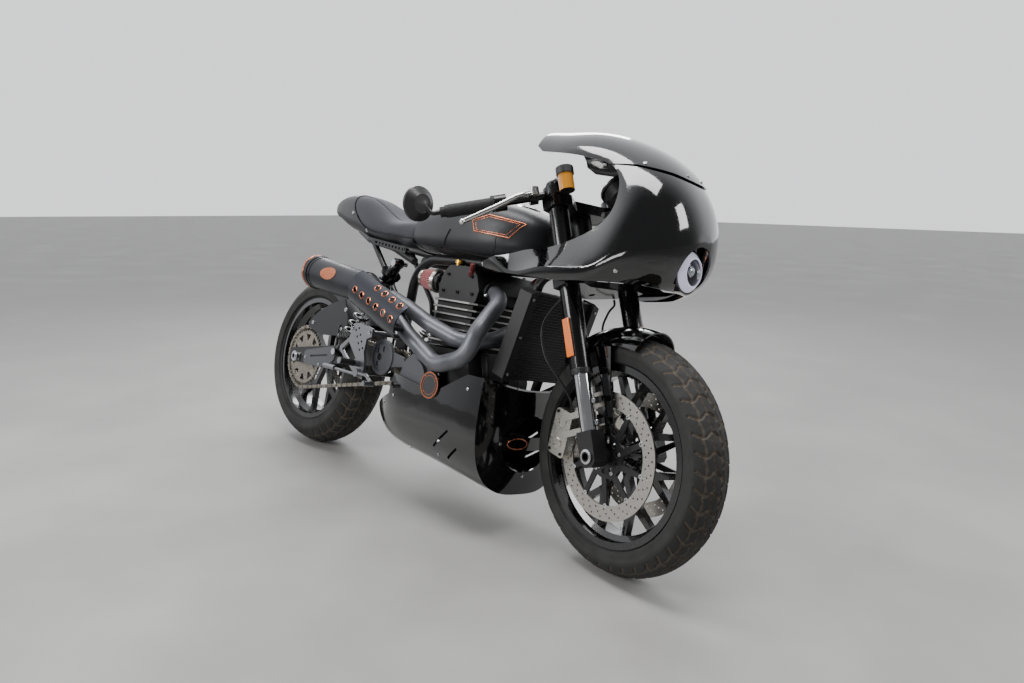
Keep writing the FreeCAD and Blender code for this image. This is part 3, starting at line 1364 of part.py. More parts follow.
channels = Part.makeCompound([top_tube(side, TUBE + 0.3) for side in (-1, 1)])
piece("fuel_tank", tank().cut(channels))


# Seat and tail: one form from the tank to the lamp. The pad is its top, set in a little, and the
# cowl is a thin shell below and behind the pad.
def tail_form(shrink, open_front=0.0):
    front = -number(size.seat_front)
    length = number(size.tail_end) + front
    half = number(size.seat_half_width)
    # part of the length, part of the half width, then the floor, the top and the waist above the
    # tank's floor
    stations = [
        (0, 0.982, 12, 122, 65), (0.117, 1.0, 16, 117, 68), (0.242, 1.0, 24, 119, 72),
        (0.402, 0.947, 40, 161, 85),
        (0.523, 0.877, 52, 194, 105), (0.617, 0.807, 63, 206, 122), (0.742, 0.667, 82, 208, 138),
        (0.867, 0.474, 110, 198, 150), (0.961, 0.246, 128, 178, 155), (1.0, 0.088, 146, 165, 155)]
    sections = []
    for part, wide, low, top, waist in stations:
        across = front - length * part
        if part == 0:
            across += open_front
        if part > 0.9:
            across += shrink * 2
        sections.append((across, half * wide - shrink * min(1, wide + 0.2), TANK_LOW + low + shrink,
                         TANK_LOW + top - shrink, TANK_LOW + waist))
    return skin(sections, 0.72)


def pad_side(drop):
    """Everything above the line between the pad and the cowl, as a slab across the motorcycle."""
    line = [(-130, 785), (-240, 791), (-320, 797), (-450, 815), (-512, 845), (-562, 890), (-592, 950)]
    return flowing_prism([(x - drop, z - drop) for x, z in line], [(-592 - drop, 1100), (-130 - drop, 1100)],
                         300)


def seat():
    return tail_form(number(size.seat_inset)).common(pad_side(0))


def tail_cowl():
    shell = tail_form(0).cut(tail_form(number(size.tail_wall), 1.0))
    return shell.cut(pad_side(0.4)).cut(seat_rail(number(size.rail_tube_radius) + 0.3, False))


piece("seat", seat())
piece("tail_cowl", tail_cowl())


# Swingarm: two legs from the pivot to the rear axle, with a cross tube, and the axle itself
def swingarm():
    spread = number(size.swingarm_spread)
    width = number(size.swingarm_width)
    axle = Vector(number(rear_axle), 0, number(size.rear_tyre_radius))
    shapes = []
    for side in (-1, 1):
        outline = Part.makePolygon([
            Vector(pivot.x + 18, 0, pivot.z + 18), Vector(pivot.x - 40, 0, pivot.z + 30),
            Vector(-420, 0, pivot.z + 4), Vector(axle.x - 40, 0, axle.z + 28),
            Vector(axle.x - 56, 0, axle.z),
            Vector(axle.x - 40, 0, axle.z - 26), Vector(-420, 0, pivot.z - 62),
            Vector(pivot.x - 40, 0, pivot.z - 36), Vector(pivot.x + 18, 0, pivot.z - 18),
            Vector(pivot.x + 18, 0, pivot.z + 18)])
        leg = Part.Face(outline).extrude(SIDE * width).translated(SIDE * (side * spread - width / 2))
        slot = Part.makeBox(56, width * 2, 26, Vector(axle.x - 28, side * spread - width, axle.z - 13))
        shapes.append(leg.cut(slot))
    bridge = rod(Vector(-352, -spread, pivot.z - 14), Vector(-352, spread, pivot.z - 14), 24)
    for side in (-1, 1):
        shapes.append(rod(Vector(pivot.x, side * (PLATES + 6.3), pivot.z),
                          Vector(pivot.x, side * (spread + width / 2), pivot.z), 17))
    shape = joined(shapes + [bridge])
    return shape.cut(rod(Vector(pivot.x, -300, pivot.z), Vector(pivot.x, 300, pivot.z), 10.3))


piece("swingarm", swingarm())


# Rear axle: a hollow spindle held by adjuster blocks in the slots of the swingarm
def rear_spindle():
    axle = Vector(number(rear_axle), 0, number(size.rear_tyre_radius))
    spread = number(size.swingarm_spread)
    width = number(size.swingarm_width)
    half = spread + width / 2 + 14
    shapes = [rod(axle - SIDE * half, axle + SIDE * half, number(size.axle_radius))]
    for side in (-1, 1):
        block = Part.makeBox(40, width, 25.4, Vector(axle.x - 20, side * spread - width / 2, axle.z - 12.7))
        nut = rod(axle + SIDE * side * (spread + width / 2), axle + SIDE * side * (half - 3), 19)
        shapes += [block, nut]
    inner = spread - width / 2 - 0.3
    hub_face = number(size.sprocket_offset) + number(size.sprocket_thickness) / 2 + 0.3
    disc_side = number(size.rear_disc_offset) + number(size.disc_thickness) / 2 + 0.3
    shapes.append(rod(axle - SIDE * hub_face, axle - SIDE * inner, 18))
    shapes.append(rod(axle + SIDE * disc_side, axle + SIDE * inner, 18))
    bore = rod(axle - SIDE * (half + 1), axle + SIDE * (half + 1), number(size.axle_bore))
    return joined(shapes).cut(bore)


piece("rear_axle", rear_spindle())


# Rear shocks: a coil on a damper each side, from the seat rail to the swingarm
def turned(outline, start, way):
    """A solid of revolution from (radius, distance) corners about a line."""
    corners = [Vector(radius, 0, distance) for radius, distance in outline]
    face = Part.Face(Part.makePolygon(corners + [corners[0]]))
    shape = face.revolve(Vector(0, 0, 0), Vector(0, 0, 1), 360)
    shape.Placement = Placement(start, Rotation(Vector(0, 0, 1), way))
    return shape


def rear_shock(side):
    spread = number(size.shock_spread)
    top = Vector(-number(size.shock_top_back), side * spread, number(size.shock_top_height))
    foot = Vector(-number(size.shock_foot_back), side * spread, number(size.shock_foot_height))
    way = (foot - top).normalize()
    length = (foot - top).Length
    coil = number(size.shock_coil_radius)
    across = SIDE * side
    first = 52
    last = length - 74
    outline = [(0, 0), (18, 0), (18, 44), (coil + 4, 44), (coil + 4, first)]
    turns = 8
    pitch = (last - first) / turns
    for index in range(turns):
        low = first + index * pitch
        outline += [(coil - 9, low + pitch * 0.05), (coil - 9, low + pitch * 0.35),
                    (coil, low + pitch * 0.5), (coil, low + pitch * 0.75), (coil - 9, low + pitch * 0.9)]
    outline += [(coil + 4, last), (coil + 4, last + 8), (13, last + 8), (13, length), (0, length)]
    bolt_top = rod(Vector(top.x, side * (PLATES + 8 + TUBE), top.z), top + across * 16, 7)
    bolt_foot = rod(Vector(foot.x,
                           side * (number(size.swingarm_spread) + number(size.swingarm_width) / 2 + 0.3),
                           foot.z), foot + across * 16, 7)
    eyes = [rod(top - across * 12, top + across * 12, 15), rod(foot - across * 12, foot + across * 12, 15)]
    return joined([turned(outline, top, way), bolt_top, bolt_foot] + eyes).cut(top_tube(side, TUBE + 0.3))


piece("rear_shocks", both_sides(rear_shock))


# Intakes: throttle bodies behind the head, each with a conical pleated filter
def intake_parts(side):
    centre = number(size.block_centre)
    mouth = Vector(centre - 88.4, side * 74, number(head_low_face) + 42)
    flange = mouth + Vector(-46, side * 8, 4)
    return mouth, flange


def throttle_body(side):
    mouth, flange = intake_parts(side)
    linkage = rod(flange + Vector(22, side * 14, 6), flange + Vector(22, side * 44, 6), 9)
    way = (flange - mouth).normalize()
    step = Vector(mouth.x - 12, mouth.y, mouth.z)
    return joined([rod(mouth, step, 25), Part.makeSphere(25, step), rod(step, flange, 25),
                   rod(flange - way * 6, flange + way * 6, 31), linkage]).cut(
        Part.makeBox(60, 200, 200, Vector(mouth.x, mouth.y - 100, mouth.z - 100)))


def air_filter(side):
    mouth, flange = intake_parts(side)
    way = (flange - mouth).normalize()
    start = flange + way * 6.3
    shapes = [rod(start, start + way * 12, 36), cone(start + way * 12, start + way * 62, 37, 28),
              rod(start + way * 62, start + way * 70, 27)]
    return joined(shapes)


piece("throttle_bodies", both_sides(throttle_body))
piece("air_filters", both_sides(air_filter))


# Footrests: a perforated bracket on two posts each side, with its peg, a heel guard, and the brake
# pedal on the right or gear lever on the left with its rod
REST_SIDE = 188


def rearset(side):
    inner = side * REST_SIDE
    bracket_outline = [
        (-178, 482), (-178, 456), (-202, 446), (-206, 404), (-196, 378), (-192, 350), (-192, 316),
        (-236, 324),
        (-345, 390), (-344, 404), (-300, 438), (-280, 486), (-250, 492)]
    corners = [Vector(x, inner, z) for x, z in bracket_outline]
    plate = Part.Face(Part.makePolygon(corners + [corners[0]])).extrude(SIDE * side * 8)
    window = [Vector(x, inner - side * 5, z) for x, z in ((-272, 358), (-330, 394), (-298, 424),
                                                          (-244, 376))]
    holes = [Part.Face(Part.makePolygon(window + [window[0]])).extrude(SIDE * side * 20)]
    for row in range(4):
        for column in (0, 1):
            at = Vector(-268 + row * 12 + column * 16, inner - 15, 466 - row * 20 + column * 8)
            holes.append(Part.makeCylinder(4, 30, at, SIDE))
    plate = plate.cut(Part.makeCompound(holes))
    shapes = [plate, rod(Vector(-222, side * (REST_SIDE + 4), 362),
                         Vector(-222, side * (REST_SIDE + 84), 368), 10)]
    for across, height, start in ((pivot.x - 7, pivot.z + 73, 16.4), (pivot.x - 20, pivot.z - 58, 6.3)):
        shapes.append(rod(Vector(across, side * (PLATES + start), height),
                          Vector(across, side * (REST_SIDE + 4), height), 8))
    return joined(shapes)


def pedal(side):
    outer = REST_SIDE + 16
    hub_at = Vector(-212, side * outer, 334)
    arm = tube([hub_at, Vector(-150, side * (outer + 6), 336), Vector(-92, side * (outer + 24), 318)], 6, 40)
    toe = rod(Vector(-92, side * (outer + 18), 318), Vector(-92, side * (outer + 56), 318), 8)
    hub = rod(hub_at - SIDE * side * 7.7, hub_at + SIDE * side * 8, 13)
    push_rod = rod(hub_at + Vector(-4, 0, -6), Vector(-400, side * outer, 326), 5)
    cylinder = rod(Vector(-340, side * outer, 328), Vector(-404, side * outer, 326), 9)
    return joined([arm, toe, hub, push_rod, cylinder])


piece("footrests", Part.makeCompound([both_sides(rearset), both_sides(pedal)]))


# Fairing: one skin from the nose to the rear tips. Above a crease along its waist the sides fold in to
# the screen, and below it they tuck under. It is cut to its side outline, and along the seam it is
# split into the painted shell and the screen, which laps over it.
FAIRING_WALL = number(size.fairing_wall)
FAIRING_FULLNESS = 0.9
SCREEN_LAP = number(size.screen_lap)


def crested(across, half_width, low, high, waist, fold):
    """A closed section across the motorcycle with a crease at the waist on each side."""
    steps = 14
    halves = []
    for reach, inward in ((high - waist, fold), (low - waist, 0)):
        points = []
        for step in range(steps + 1):
            angle = math.pi * step / steps
            way = math.copysign(1, math.cos(angle))
            lift = math.sin(angle) ** FAIRING_FULLNESS if 0 < step < steps else 0
            side = half_width * abs(math.cos(angle)) ** FAIRING_FULLNESS
            side -= inward * math.sin(angle) * abs(math.cos(angle)) ** 6
            points.append(Vector(across, side * way, waist + reach * lift))
        curve = Part.BSplineCurve()
        curve.interpolate(points)
        halves.append(curve.toShape())
    return Part.Wire(halves)


def fairing_skin(shrink):
    nose = number(size.fairing_front)
    half = number(size.fairing_half_width)
    high = number(size.fairing_top)
    low = number(size.fairing_low)
    tall = high - low
    # distance behind the nose, part of the half width, top, floor and waist as parts of the height, fold
    stations = [
        (0, 0.14, 0.400, 0.300, 0.350, 0), (6, 0.28, 0.475, 0.225, 0.345, 0),
        (24, 0.50, 0.587, 0.130, 0.325, 0),
        (60, 0.71, 0.708, 0.060, 0.290, 0), (120, 0.865, 0.820, 0.0, 0.222, 20),
        (172, 0.935, 0.880, -0.055, 0.140, 95),
        (220, 0.975, 0.921, -0.090, 0.110, 200), (340, 1.0, 0.985, -0.120, 0.086, 290),
        (460, 0.97, 1.0, -0.125, 0.072, 290), (580, 0.86, 0.98, -0.125, 0.062, 290),
        (700, 0.70, 0.900, -0.125, 0.055, 290)]
    rings = []
    for back, wide, top, bottom, waist, fold in stations:
        rings.append(crested(nose - shrink - back, half * wide - shrink * min(1, wide + 0.3),
                             low + tall * bottom + shrink, low + tall * top - shrink, low + tall * waist,
                             fold))
    return Part.makeLoft(rings, True, False)


SEAM = [(200, 1030), (480, 1016), (560, 1011), (600, 1010), (675, 1008), (752, 998), (800, 984), (900, 960)]


def fairing_outline():
    """The fairing's edge seen from the side: screen tip, cut-out, wing tip and lower edge."""
    cut_out = [(349, 1053), (462, 1040), (559, 1021), (609, 1003), (640, 972), (655, 930), (650, 882),
               (592, 834),
               (523, 800), (473, 783), (405, 774), (340, 754), (253, 725)]
    return flowing_prism(cut_out, [(253, 717), (347, 706), (459, 703), (549, 702), (652, 712), (731, 722),
                                   (764, 721), (900, 716), (900, 1200), (300, 1200), (321, 1085),
                                   (321, 1071)], 400)


def screen_side():
    """Everything above the seam, as a slab across the motorcycle."""
    return side_prism([(900, 1200), (200, 1200)] + SEAM, 400)


def shell_side():
    """Everything below the seam, a hair lower."""
    return side_prism([(200, 500)] + [(x, z - 0.4) for x, z in SEAM] + [(900, 500)], 400)


# Headlight: a bowl, a thin bezel and a domed glass in the fairing's nose
headlight_centre = Vector(number(size.fairing_front) - 88, 0, number(size.headlight_height))
headlight_way = Vector(1, 0, 0)
BEZEL_DEPTH = 58
BEZEL_FRONT = headlight_centre + headlight_way * BEZEL_DEPTH


def lamp_room():
    """What the fairing leaves free: a close hole round the bezel and a wider rim in front of it."""
    radius = number(size.headlight_radius)
    return rod(headlight_centre - headlight_way * 40, headlight_centre + headlight_way * 200,
               radius + 0.4).fuse(
        rod(BEZEL_FRONT - headlight_way * 6, headlight_centre + headlight_way * 200, radius + 7))


def headlight():
    radius = number(size.headlight_radius)
    bowl = cone(headlight_centre - headlight_way * 46, headlight_centre, radius * 0.6, radius)
    ring = rod(headlight_centre, BEZEL_FRONT, radius)
    ring = ring.cut(rod(BEZEL_FRONT - headlight_way * 8, BEZEL_FRONT + headlight_way, radius - 5))
    dome = 20
    glass = radius - 5
    sphere_radius = (glass ** 2 + dome ** 2) / (2 * dome)
    lens = rod(BEZEL_FRONT - headlight_way * 9, BEZEL_FRONT + headlight_way * 40, glass).common(
        Part.makeSphere(sphere_radius, BEZEL_FRONT + headlight_way * (dome - sphere_radius)))
    return joined([bowl, ring, lens])


outline = fairing_outline()
painted = fairing_skin(0).cut(fairing_skin(FAIRING_WALL)).common(outline)
piece("fairing", painted.common(shell_side()).cut(lamp_room()))
glazed = fairing_skin(-SCREEN_LAP).cut(fairing_skin(FAIRING_WALL - SCREEN_LAP)).common(outline)
piece("windscreen", glazed.common(screen_side()))
piece("headlight", headlight())


# Fairing stay: a bracket from the head tube that holds the gauge, the lamp and the shell
def fairing_stay():
    root = along_head(head_high - 60, number(size.stem_radius) + 11.3)
    shapes = []
    lamp_back = headlight_centre - headlight_way * 46
    for side in (-1, 1):
        shapes.append(tube([root + SIDE * side * 6, root + Vector(60, side * 40, 30),
                            Vector(600, side * 70, 900),
                            Vector(640, side * 240, 850)], 7, 40))
    shapes.append(tube([root, root + Vector(70, 0, 0), Vector(lamp_back.x - 60, 0, lamp_back.z + 20),
                        lamp_back - headlight_way * 0.3], 9, 60))
    return joined(shapes).common(fairing_skin(FAIRING_WALL + 0.3))


def stay_room():
    """What the fairing stay must end against: the head tube and the back of the lamp."""
    return rod(along_head(head_low), along_head(head_high), number(size.stem_radius) + 11.3).fuse(
        rod(headlight_centre - headlight_way * 46.3, headlight_centre, number(size.headlight_radius)))


def gauge():
    centre = Vector(536, 0, 976)
    way = Vector(-0.75, 0, 0.66).normalize()
    shapes = [rod(centre - way * 34, centre, 46), rod(centre, centre + way * 5, 50)]
    shapes.append(tube([along_head(head_high - 60, number(size.stem_radius) + 11.3),
                        along_head(head_high - 60, 70), centre - way * 20], 8, 30))
    return joined(shapes)


piece("instruments", joined([fairing_stay(), gauge()]).cut(stay_room()))


# Rear hugger: a short blade over the front of the rear tyre with a chain guard, carried on the swingarm
def hugger():
    centre = rear_centre
    radius = number(size.rear_tyre_radius) + 16
    half = number(size.rear_tyre_width) / 2 + 6
    edge = radius - 60

    def blade(grow):
        face = Part.Face(Part.Wire([
            Part.Arc(Vector(0, -half - grow, edge), Vector(0, 0, radius + grow),
                     Vector(0, half + grow, edge)).toShape(),
            Part.LineSegment(Vector(0, half + grow, edge), Vector(0, -half - grow, edge)).toShape()]))
        face.Placement = Placement(centre, Rotation(SIDE, 12))
        return face.revolve(centre, SIDE, 48)

    struts = []
    at = centre.x + 225
    axle_top = centre.z + 28
    leg_top = pivot.z + 4 + (at + 420) / (centre.x + 380) * (axle_top - pivot.z - 4)
    for side in (-1, 1):
        leg = side * number(size.swingarm_spread)
        struts.append(tube([Vector(at, side * (half + 1), centre.z + 155), Vector(at, leg, centre.z + 152),
                            Vector(at, leg, leg_top + 1.3)], 5, 14))
    panel_side = -number(size.swingarm_spread) + 3
    panel_outline = [(-480, 556), (-560, 532), (-640, 492), (-694, 448), (-688, 430), (-601, 413),
                     (-432, 430),
                     (-446, 500)]
    corners = [Vector(x, panel_side, z) for x, z in panel_outline]
    panel = Part.Face(Part.makePolygon(corners + [corners[0]])).extrude(SIDE * 6)
    return joined([blade(3), panel] + struts).cut(blade(0))


piece("rear_hugger", hugger())


# Rear brake: a calliper over the disc on the left, on a bracket held by the axle
def rear_calliper():
    axle = rear_centre
    side = number(size.rear_disc_offset)
    reach = number(size.rear_disc_radius)
    slot = number(size.disc_thickness) + 3
    angle = math.radians(112)
    centre = axle + Vector((reach - 14) * math.cos(angle), side, (reach - 14) * math.sin(angle))
    block = Part.makeBox(76, 40, 46, Vector(-38, -22, -23))
    block = block.makeFillet(8, [edge for edge in block.Edges if abs(edge.Curve.Direction.y) > 0.5])
    block.Placement = Placement(centre, Rotation(Vector(0, 1, 0), -22))
    gap = Part.makeCylinder(reach + 5, slot, axle + Vector(0, side - slot / 2, 0), SIDE)
    root = axle + SIDE * (side + slot / 2 + 3)
    ring = rod(root, root + SIDE * 8, 30)
    arm = Part.makeBox(34, 8, 96, Vector(root.x - 17, root.y, root.z))
    arm.rotate(root, SIDE, -22)
    bracket = ring.fuse(arm).cut(rod(root - SIDE, root + SIDE * 9, 18.3))
    return joined([block.cut(gap), bracket])


piece("rear_calliper", rear_calliper())


# Drive chain: a fixed loop of plates round both sprockets
def drive_chain():
    rear = rear_centre
    front = Vector(number(sprocket_x), 0, number(sprocket_z))
    big = number(size.sprocket_radius) + 2
    small = number(size.drive_sprocket_radius)
    tall = number(size.chain_height)
    wide = number(size.chain_width)
    side = -number(size.sprocket_offset)
    gap = front - rear
    distance = gap.Length
    heading = math.atan2(gap.z, gap.x)
    def loop(grow):
        bigger = big + grow
        smaller = small + grow
        tilt = math.acos((bigger - smaller) / distance)
        def on(centre, radius, angle):
            return centre + Vector(radius * math.cos(angle), side - wide / 2, radius * math.sin(angle))
        up = heading + tilt
        down = heading - tilt
        edges = [
            Part.LineSegment(on(rear, bigger, up), on(front, smaller, up)).toShape(),
            Part.Arc(on(front, smaller, up), on(front, smaller, heading),
                     on(front, smaller, down)).toShape(),
            Part.LineSegment(on(front, smaller, down), on(rear, bigger, down)).toShape(),
            Part.Arc(on(rear, bigger, down), on(rear, bigger, heading + math.pi),
                     on(rear, bigger, up)).toShape(),
        ]
        return Part.Face(Part.Wire(edges))
    outer = loop(tall).extrude(SIDE * wide)
    inner = loop(0).extrude(SIDE * wide)
    return outer.cut(inner)


piece("drive_chain", drive_chain())

# Gearbox sprocket, closed in behind its cover
gear = new_body("drive_sprocket")
gear_face = sketch(gear, "drive_sprocket_face", "XZ_Plane",
                   [(sprocket_x, sprocket_z, size.drive_sprocket_radius - size.fit_gap)],
                   size.sprocket_offset)
pad(gear, "drive_sprocket_pad", gear_face, size.sprocket_thickness)
gear_shaft = sketch(gear, "drive_shaft", "XZ_Plane", [(sprocket_x, sprocket_z, 14)],
                    case_narrow / 2 + size.fit_gap)
pad(gear, "drive_shaft_pad", gear_shaft, size.sprocket_offset - case_narrow / 2 + 10, both_ways=False)


# Park every sub-part, check it and write it
doc.recompute()
box = FreeCAD.BoundBox()
for feature, group in PIECES:
    shape = feature.Shape.copy()
    shape.Placement = GROUPS[group]
    box.add(shape.optimalBoundingBox(False))
centring = Placement(Vector(-box.Center.x, -box.Center.y, 0), Rotation())
for feature, group in PIECES:
    feature.Placement = centring * GROUPS[group]
doc.recompute()
faults = [item.Label for item in doc.Objects if "Invalid" in item.State or "Error" in item.State]
for feature, group in PIECES:
    if feature.Shape.isNull() or not feature.Shape.isValid():
        faults.append(feature.Label)
if faults:
    raise RuntimeError("these did not build: " + ", ".join(faults))
for feature, group in PIECES:
    feature.Shape.exportStep("parts/" + feature.Label + ".step")
print(len(PIECES), "sub-parts")


def told(name, placement, point, way):
    """Where a joint is, for the record, in metres."""
    at = (centring * placement).multVec(point) * 0.001
    axis = placement.Rotation.multVec(way)
    print(name, [round(value, 6) for value in at], [round(value, 6) for value in axis])


told("steering", PARK, head_origin, HEAD.Rotation.multVec(Vector(0, 0, 1)))
told("front wheel", PARK * STEER, front_centre, SIDE)
told("rear wheel", PARK, rear_centre, SIDE)
told("side stand", PARK, stand_pivot, stand_axis)
told("stem bore mouth", PARK, along_head(number(size.lower_yoke_low)),
     HEAD.Rotation.multVec(Vector(0, 0, -1)))
print("box", box)
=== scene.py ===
import json
import math

import bmesh
import bpy
from mathutils import Matrix, Vector
from mathutils.bvhtree import BVHTree


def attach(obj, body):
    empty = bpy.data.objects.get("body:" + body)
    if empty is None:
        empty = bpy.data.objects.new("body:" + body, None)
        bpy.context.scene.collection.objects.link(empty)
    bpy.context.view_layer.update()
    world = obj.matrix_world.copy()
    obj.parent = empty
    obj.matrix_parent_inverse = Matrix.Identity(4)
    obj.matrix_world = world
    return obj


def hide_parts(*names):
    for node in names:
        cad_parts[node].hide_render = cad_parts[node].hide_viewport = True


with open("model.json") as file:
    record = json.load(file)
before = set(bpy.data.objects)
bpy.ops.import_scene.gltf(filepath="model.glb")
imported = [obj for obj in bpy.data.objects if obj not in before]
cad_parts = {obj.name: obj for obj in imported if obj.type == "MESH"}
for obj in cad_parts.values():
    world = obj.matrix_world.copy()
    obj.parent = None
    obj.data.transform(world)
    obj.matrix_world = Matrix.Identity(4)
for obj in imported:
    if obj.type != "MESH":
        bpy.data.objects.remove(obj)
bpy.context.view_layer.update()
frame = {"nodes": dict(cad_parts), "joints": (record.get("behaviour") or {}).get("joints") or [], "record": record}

# The camera stands low, ahead of the motorcycle on its right, where the photograph was taken.
# Its place, turn and focal length were worked out from the two wheels, with the sensor 36 mm wide.
CAMERA_PLACE = Vector((1.7596, -1.6170, 0.9279))
CAMERA_YAW = math.radians(44.863)
CAMERA_PITCH = math.radians(-10.994)
CAMERA_ROLL = math.radians(0.933)

camera_data = bpy.data.cameras.new("camera")
camera_data.lens = 25.84
camera_data.sensor_width = 36
camera = bpy.data.objects.new("camera", camera_data)
bpy.context.scene.collection.objects.link(camera)
camera.matrix_world = (Matrix.Translation(CAMERA_PLACE) @ Matrix.Rotation(CAMERA_YAW, 4, "Z")
                       @ Matrix.Rotation(math.radians(90) + CAMERA_PITCH, 4, "X")
                       @ Matrix.Rotation(CAMERA_ROLL, 4, "Z"))
bpy.context.scene.camera = camera


# The room: a pale painted concrete floor, sealed and a little cloudy, under a studio sky that is
# white behind the motorcycle and dim in front of it, with long soft lamps above and beside.
def linear(code):
    """An sRGB hex colour as linear RGBA."""
    parts = [int(code[place:place + 2], 16) / 255 for place in (1, 3, 5)]
    return [part / 12.92 if part <= 0.04045 else ((part + 0.055) / 1.055) ** 2.4 for part in parts] + [1.0]


def add_node(tree, kind, inputs=None, **settings):
    """A node with its settings; an input is a plain value or another node's output."""
    made = tree.nodes.new(kind)
    for name, value in settings.items():
        setattr(made, name, value)
    for name, value in (inputs or {}).items():
        if isinstance(value, bpy.types.NodeSocket):
            tree.links.new(value, made.inputs[name])
        else:
            made.inputs[name].default_value = value
    return made


def new_finish(name, colour, roughness, metallic=0.0, **others):
    """A named surface with its colour, roughness and further shader inputs."""
    made = bpy.data.materials.new(name)
    made.use_nodes = True
    shader = made.node_tree.nodes["Principled BSDF"]
    shader.inputs["Base Color"].default_value = linear(colour)
    shader.inputs["Roughness"].default_value = roughness
    shader.inputs["Metallic"].default_value = metallic
    for name, value in others.items():
        shader.inputs[name.replace("_", " ")].default_value = value
    return made


def speckle(finish, size_mm, low, high, bump=0.0, dark=None, light=None, detail=3.0):
    """Roughness, relief and, where given, colour that vary over a real size in millimetres."""
    tree = finish.node_tree
    shader = tree.nodes["Principled BSDF"]
    place = add_node(tree, "ShaderNodeTexCoord")
    noise = add_node(tree, "ShaderNodeTexNoise", {"Vector": place.outputs["Object"], "Scale": 1000 / size_mm,
                                                  "Detail": detail})
    spread = add_node(tree, "ShaderNodeMapRange", {"Value": noise.outputs["Fac"], "From Min": 0.3,
                                                   "From Max": 0.7, "To Min": low, "To Max": high})
    tree.links.new(spread.outputs["Result"], shader.inputs["Roughness"])
    if bump:
        relief = add_node(tree, "ShaderNodeBump", {"Height": noise.outputs["Fac"], "Strength": bump,
                                                   "Distance": size_mm / 4000})
        tree.links.new(relief.outputs["Normal"], shader.inputs["Normal"])
    if dark:
        shades = add_node(tree, "ShaderNodeValToRGB", {"Fac": noise.outputs["Fac"]})
        shades.color_ramp.elements[0].position = 0.36
        shades.color_ramp.elements[0].color = linear(dark)
        shades.color_ramp.elements[1].position = 0.64
        shades.color_ramp.elements[1].color = linear(light)
        tree.links.new(shades.outputs["Color"], shader.inputs["Base Color"])
    return finish


world = bpy.data.worlds.new("studio")
bpy.context.scene.world = world
world.use_nodes = True
sky = world.node_tree
sky_place = add_node(sky, "ShaderNodeTexCoord")
sky_side = add_node(sky, "ShaderNodeVectorMath", {0: sky_place.outputs["Generated"], 1: (-0.72, 0.69, 0.1)},
                    operation="DOT_PRODUCT")
sky_shade = add_node(sky, "ShaderNodeMapRange", {"Value": sky_side.outputs["Value"], "From Min": -0.35,
                                                 "From Max": 0.55, "To Min": 0.20, "To Max": 1.45},
                     interpolation_type="SMOOTHSTEP")
sky.nodes["Background"].inputs["Color"].default_value = linear("#F3F4F7")
sky.links.new(sky_shade.outputs["Result"], sky.nodes["Background"].inputs["Strength"])

FLOOR_HALF = 30.0
floor_mesh = bpy.data.meshes.new("floor")
floor_mesh.from_pydata([(-FLOOR_HALF, -FLOOR_HALF, 0), (FLOOR_HALF, -FLOOR_HALF, 0),
                        (FLOOR_HALF, FLOOR_HALF, 0), (-FLOOR_HALF, FLOOR_HALF, 0)], [], [(0, 1, 2, 3)])
floor = bpy.data.objects.new("floor", floor_mesh)
bpy.context.scene.collection.objects.link(floor)
# sealed concrete: cloudy grey over half a metre, with a low sheen
floor_mesh.materials.append(speckle(new_finish("sealed_concrete", "#A3A2A0", 0.5), 600, 0.42, 0.62, 0.0,
                                    "#8D8C8A", "#9D9C9A", 6.0))


def softbox(name, place, aim, width, height, power):
    """A large soft lamp aimed at a point."""
    data = bpy.data.lights.new(name, "AREA")
    data.shape = "RECTANGLE"
    data.size = width
    data.size_y = height
    data.energy = power
    lamp = bpy.data.objects.new(name, data)
    bpy.context.scene.collection.objects.link(lamp)
    lamp.location = place
    lamp.rotation_mode = "QUATERNION"
    lamp.rotation_quaternion = (Vector(aim) - Vector(place)).to_track_quat("-Z", "Y")


softbox("overhead", (0.2, -0.5, 3.3), (0.1, 0.0, 0.5), 3.0, 0.9, 105)
softbox("behind", (-2.4, 2.2, 2.4), (0.0, 0.0, 0.6), 2.6, 1.2, 80)
softbox("front", (3.3, 0.9, 2.2), (0.6, 0.0, 0.6), 0.8, 1.4, 42)
softbox("side", (-0.9, -3.1, 2.0), (0.0, 0.0, 0.45), 1.9, 0.7, 70)
softbox("low_side", (1.2, -3.4, 0.9), (0.2, 0.0, 0.4), 1.2, 0.5, 16)

# The frames that the pieces are drawn in, in millimetres: the chassis as if it stood upright, with
# its origin on the ground midway between the axles, the steering head as it stands turned, and
# each wheel about its own axle.
RAKE = math.radians(22.8)
WHEELBASE = 1415.0
FRONT_RADIUS, REAR_RADIUS = 300.0, 315.0
MM = Matrix.Scale(0.001, 4)
joints = {joint["name"]: joint for joint in frame["joints"]}


def axes(across, along, upwards, origin):
    """A frame from its three directions and its origin."""
    made = Matrix((across, along, upwards)).transposed().to_4x4()
    made.translation = origin
    return made @ MM


steer_axis = Vector(joints["steering"]["axis"]).normalized()
steer_place = Vector(joints["steering"]["pos_m"])
rear_left = Vector(joints["rear_wheel"]["axis"]).normalized()
rear_place = Vector(joints["rear_wheel"]["pos_m"])
front_left = Vector(joints["front_wheel"]["axis"]).normalized()
front_place = Vector(joints["front_wheel"]["pos_m"])
lean_ahead = rear_left.cross(steer_axis)
ahead = lean_ahead * math.cos(RAKE) - steer_axis * math.sin(RAKE)
upward = lean_ahead * math.sin(RAKE) + steer_axis * math.cos(RAKE)
CHASSIS = axes(ahead, rear_left, upward,
               rear_place + ahead * WHEELBASE / 2000 - upward * REAR_RADIUS / 1000)
head_ahead = front_left.cross(steer_axis)
HEAD = axes(head_ahead, front_left, steer_axis, steer_place)
LEG_X = (front_place - steer_place).dot(head_ahead) * 1000
FRONT_WHEEL = axes(head_ahead * math.cos(RAKE) - steer_axis * math.sin(RAKE), front_left,
                   head_ahead * math.sin(RAKE) + steer_axis * math.cos(RAKE), front_place)
REAR_WHEEL = axes(ahead, rear_left, upward, rear_place)
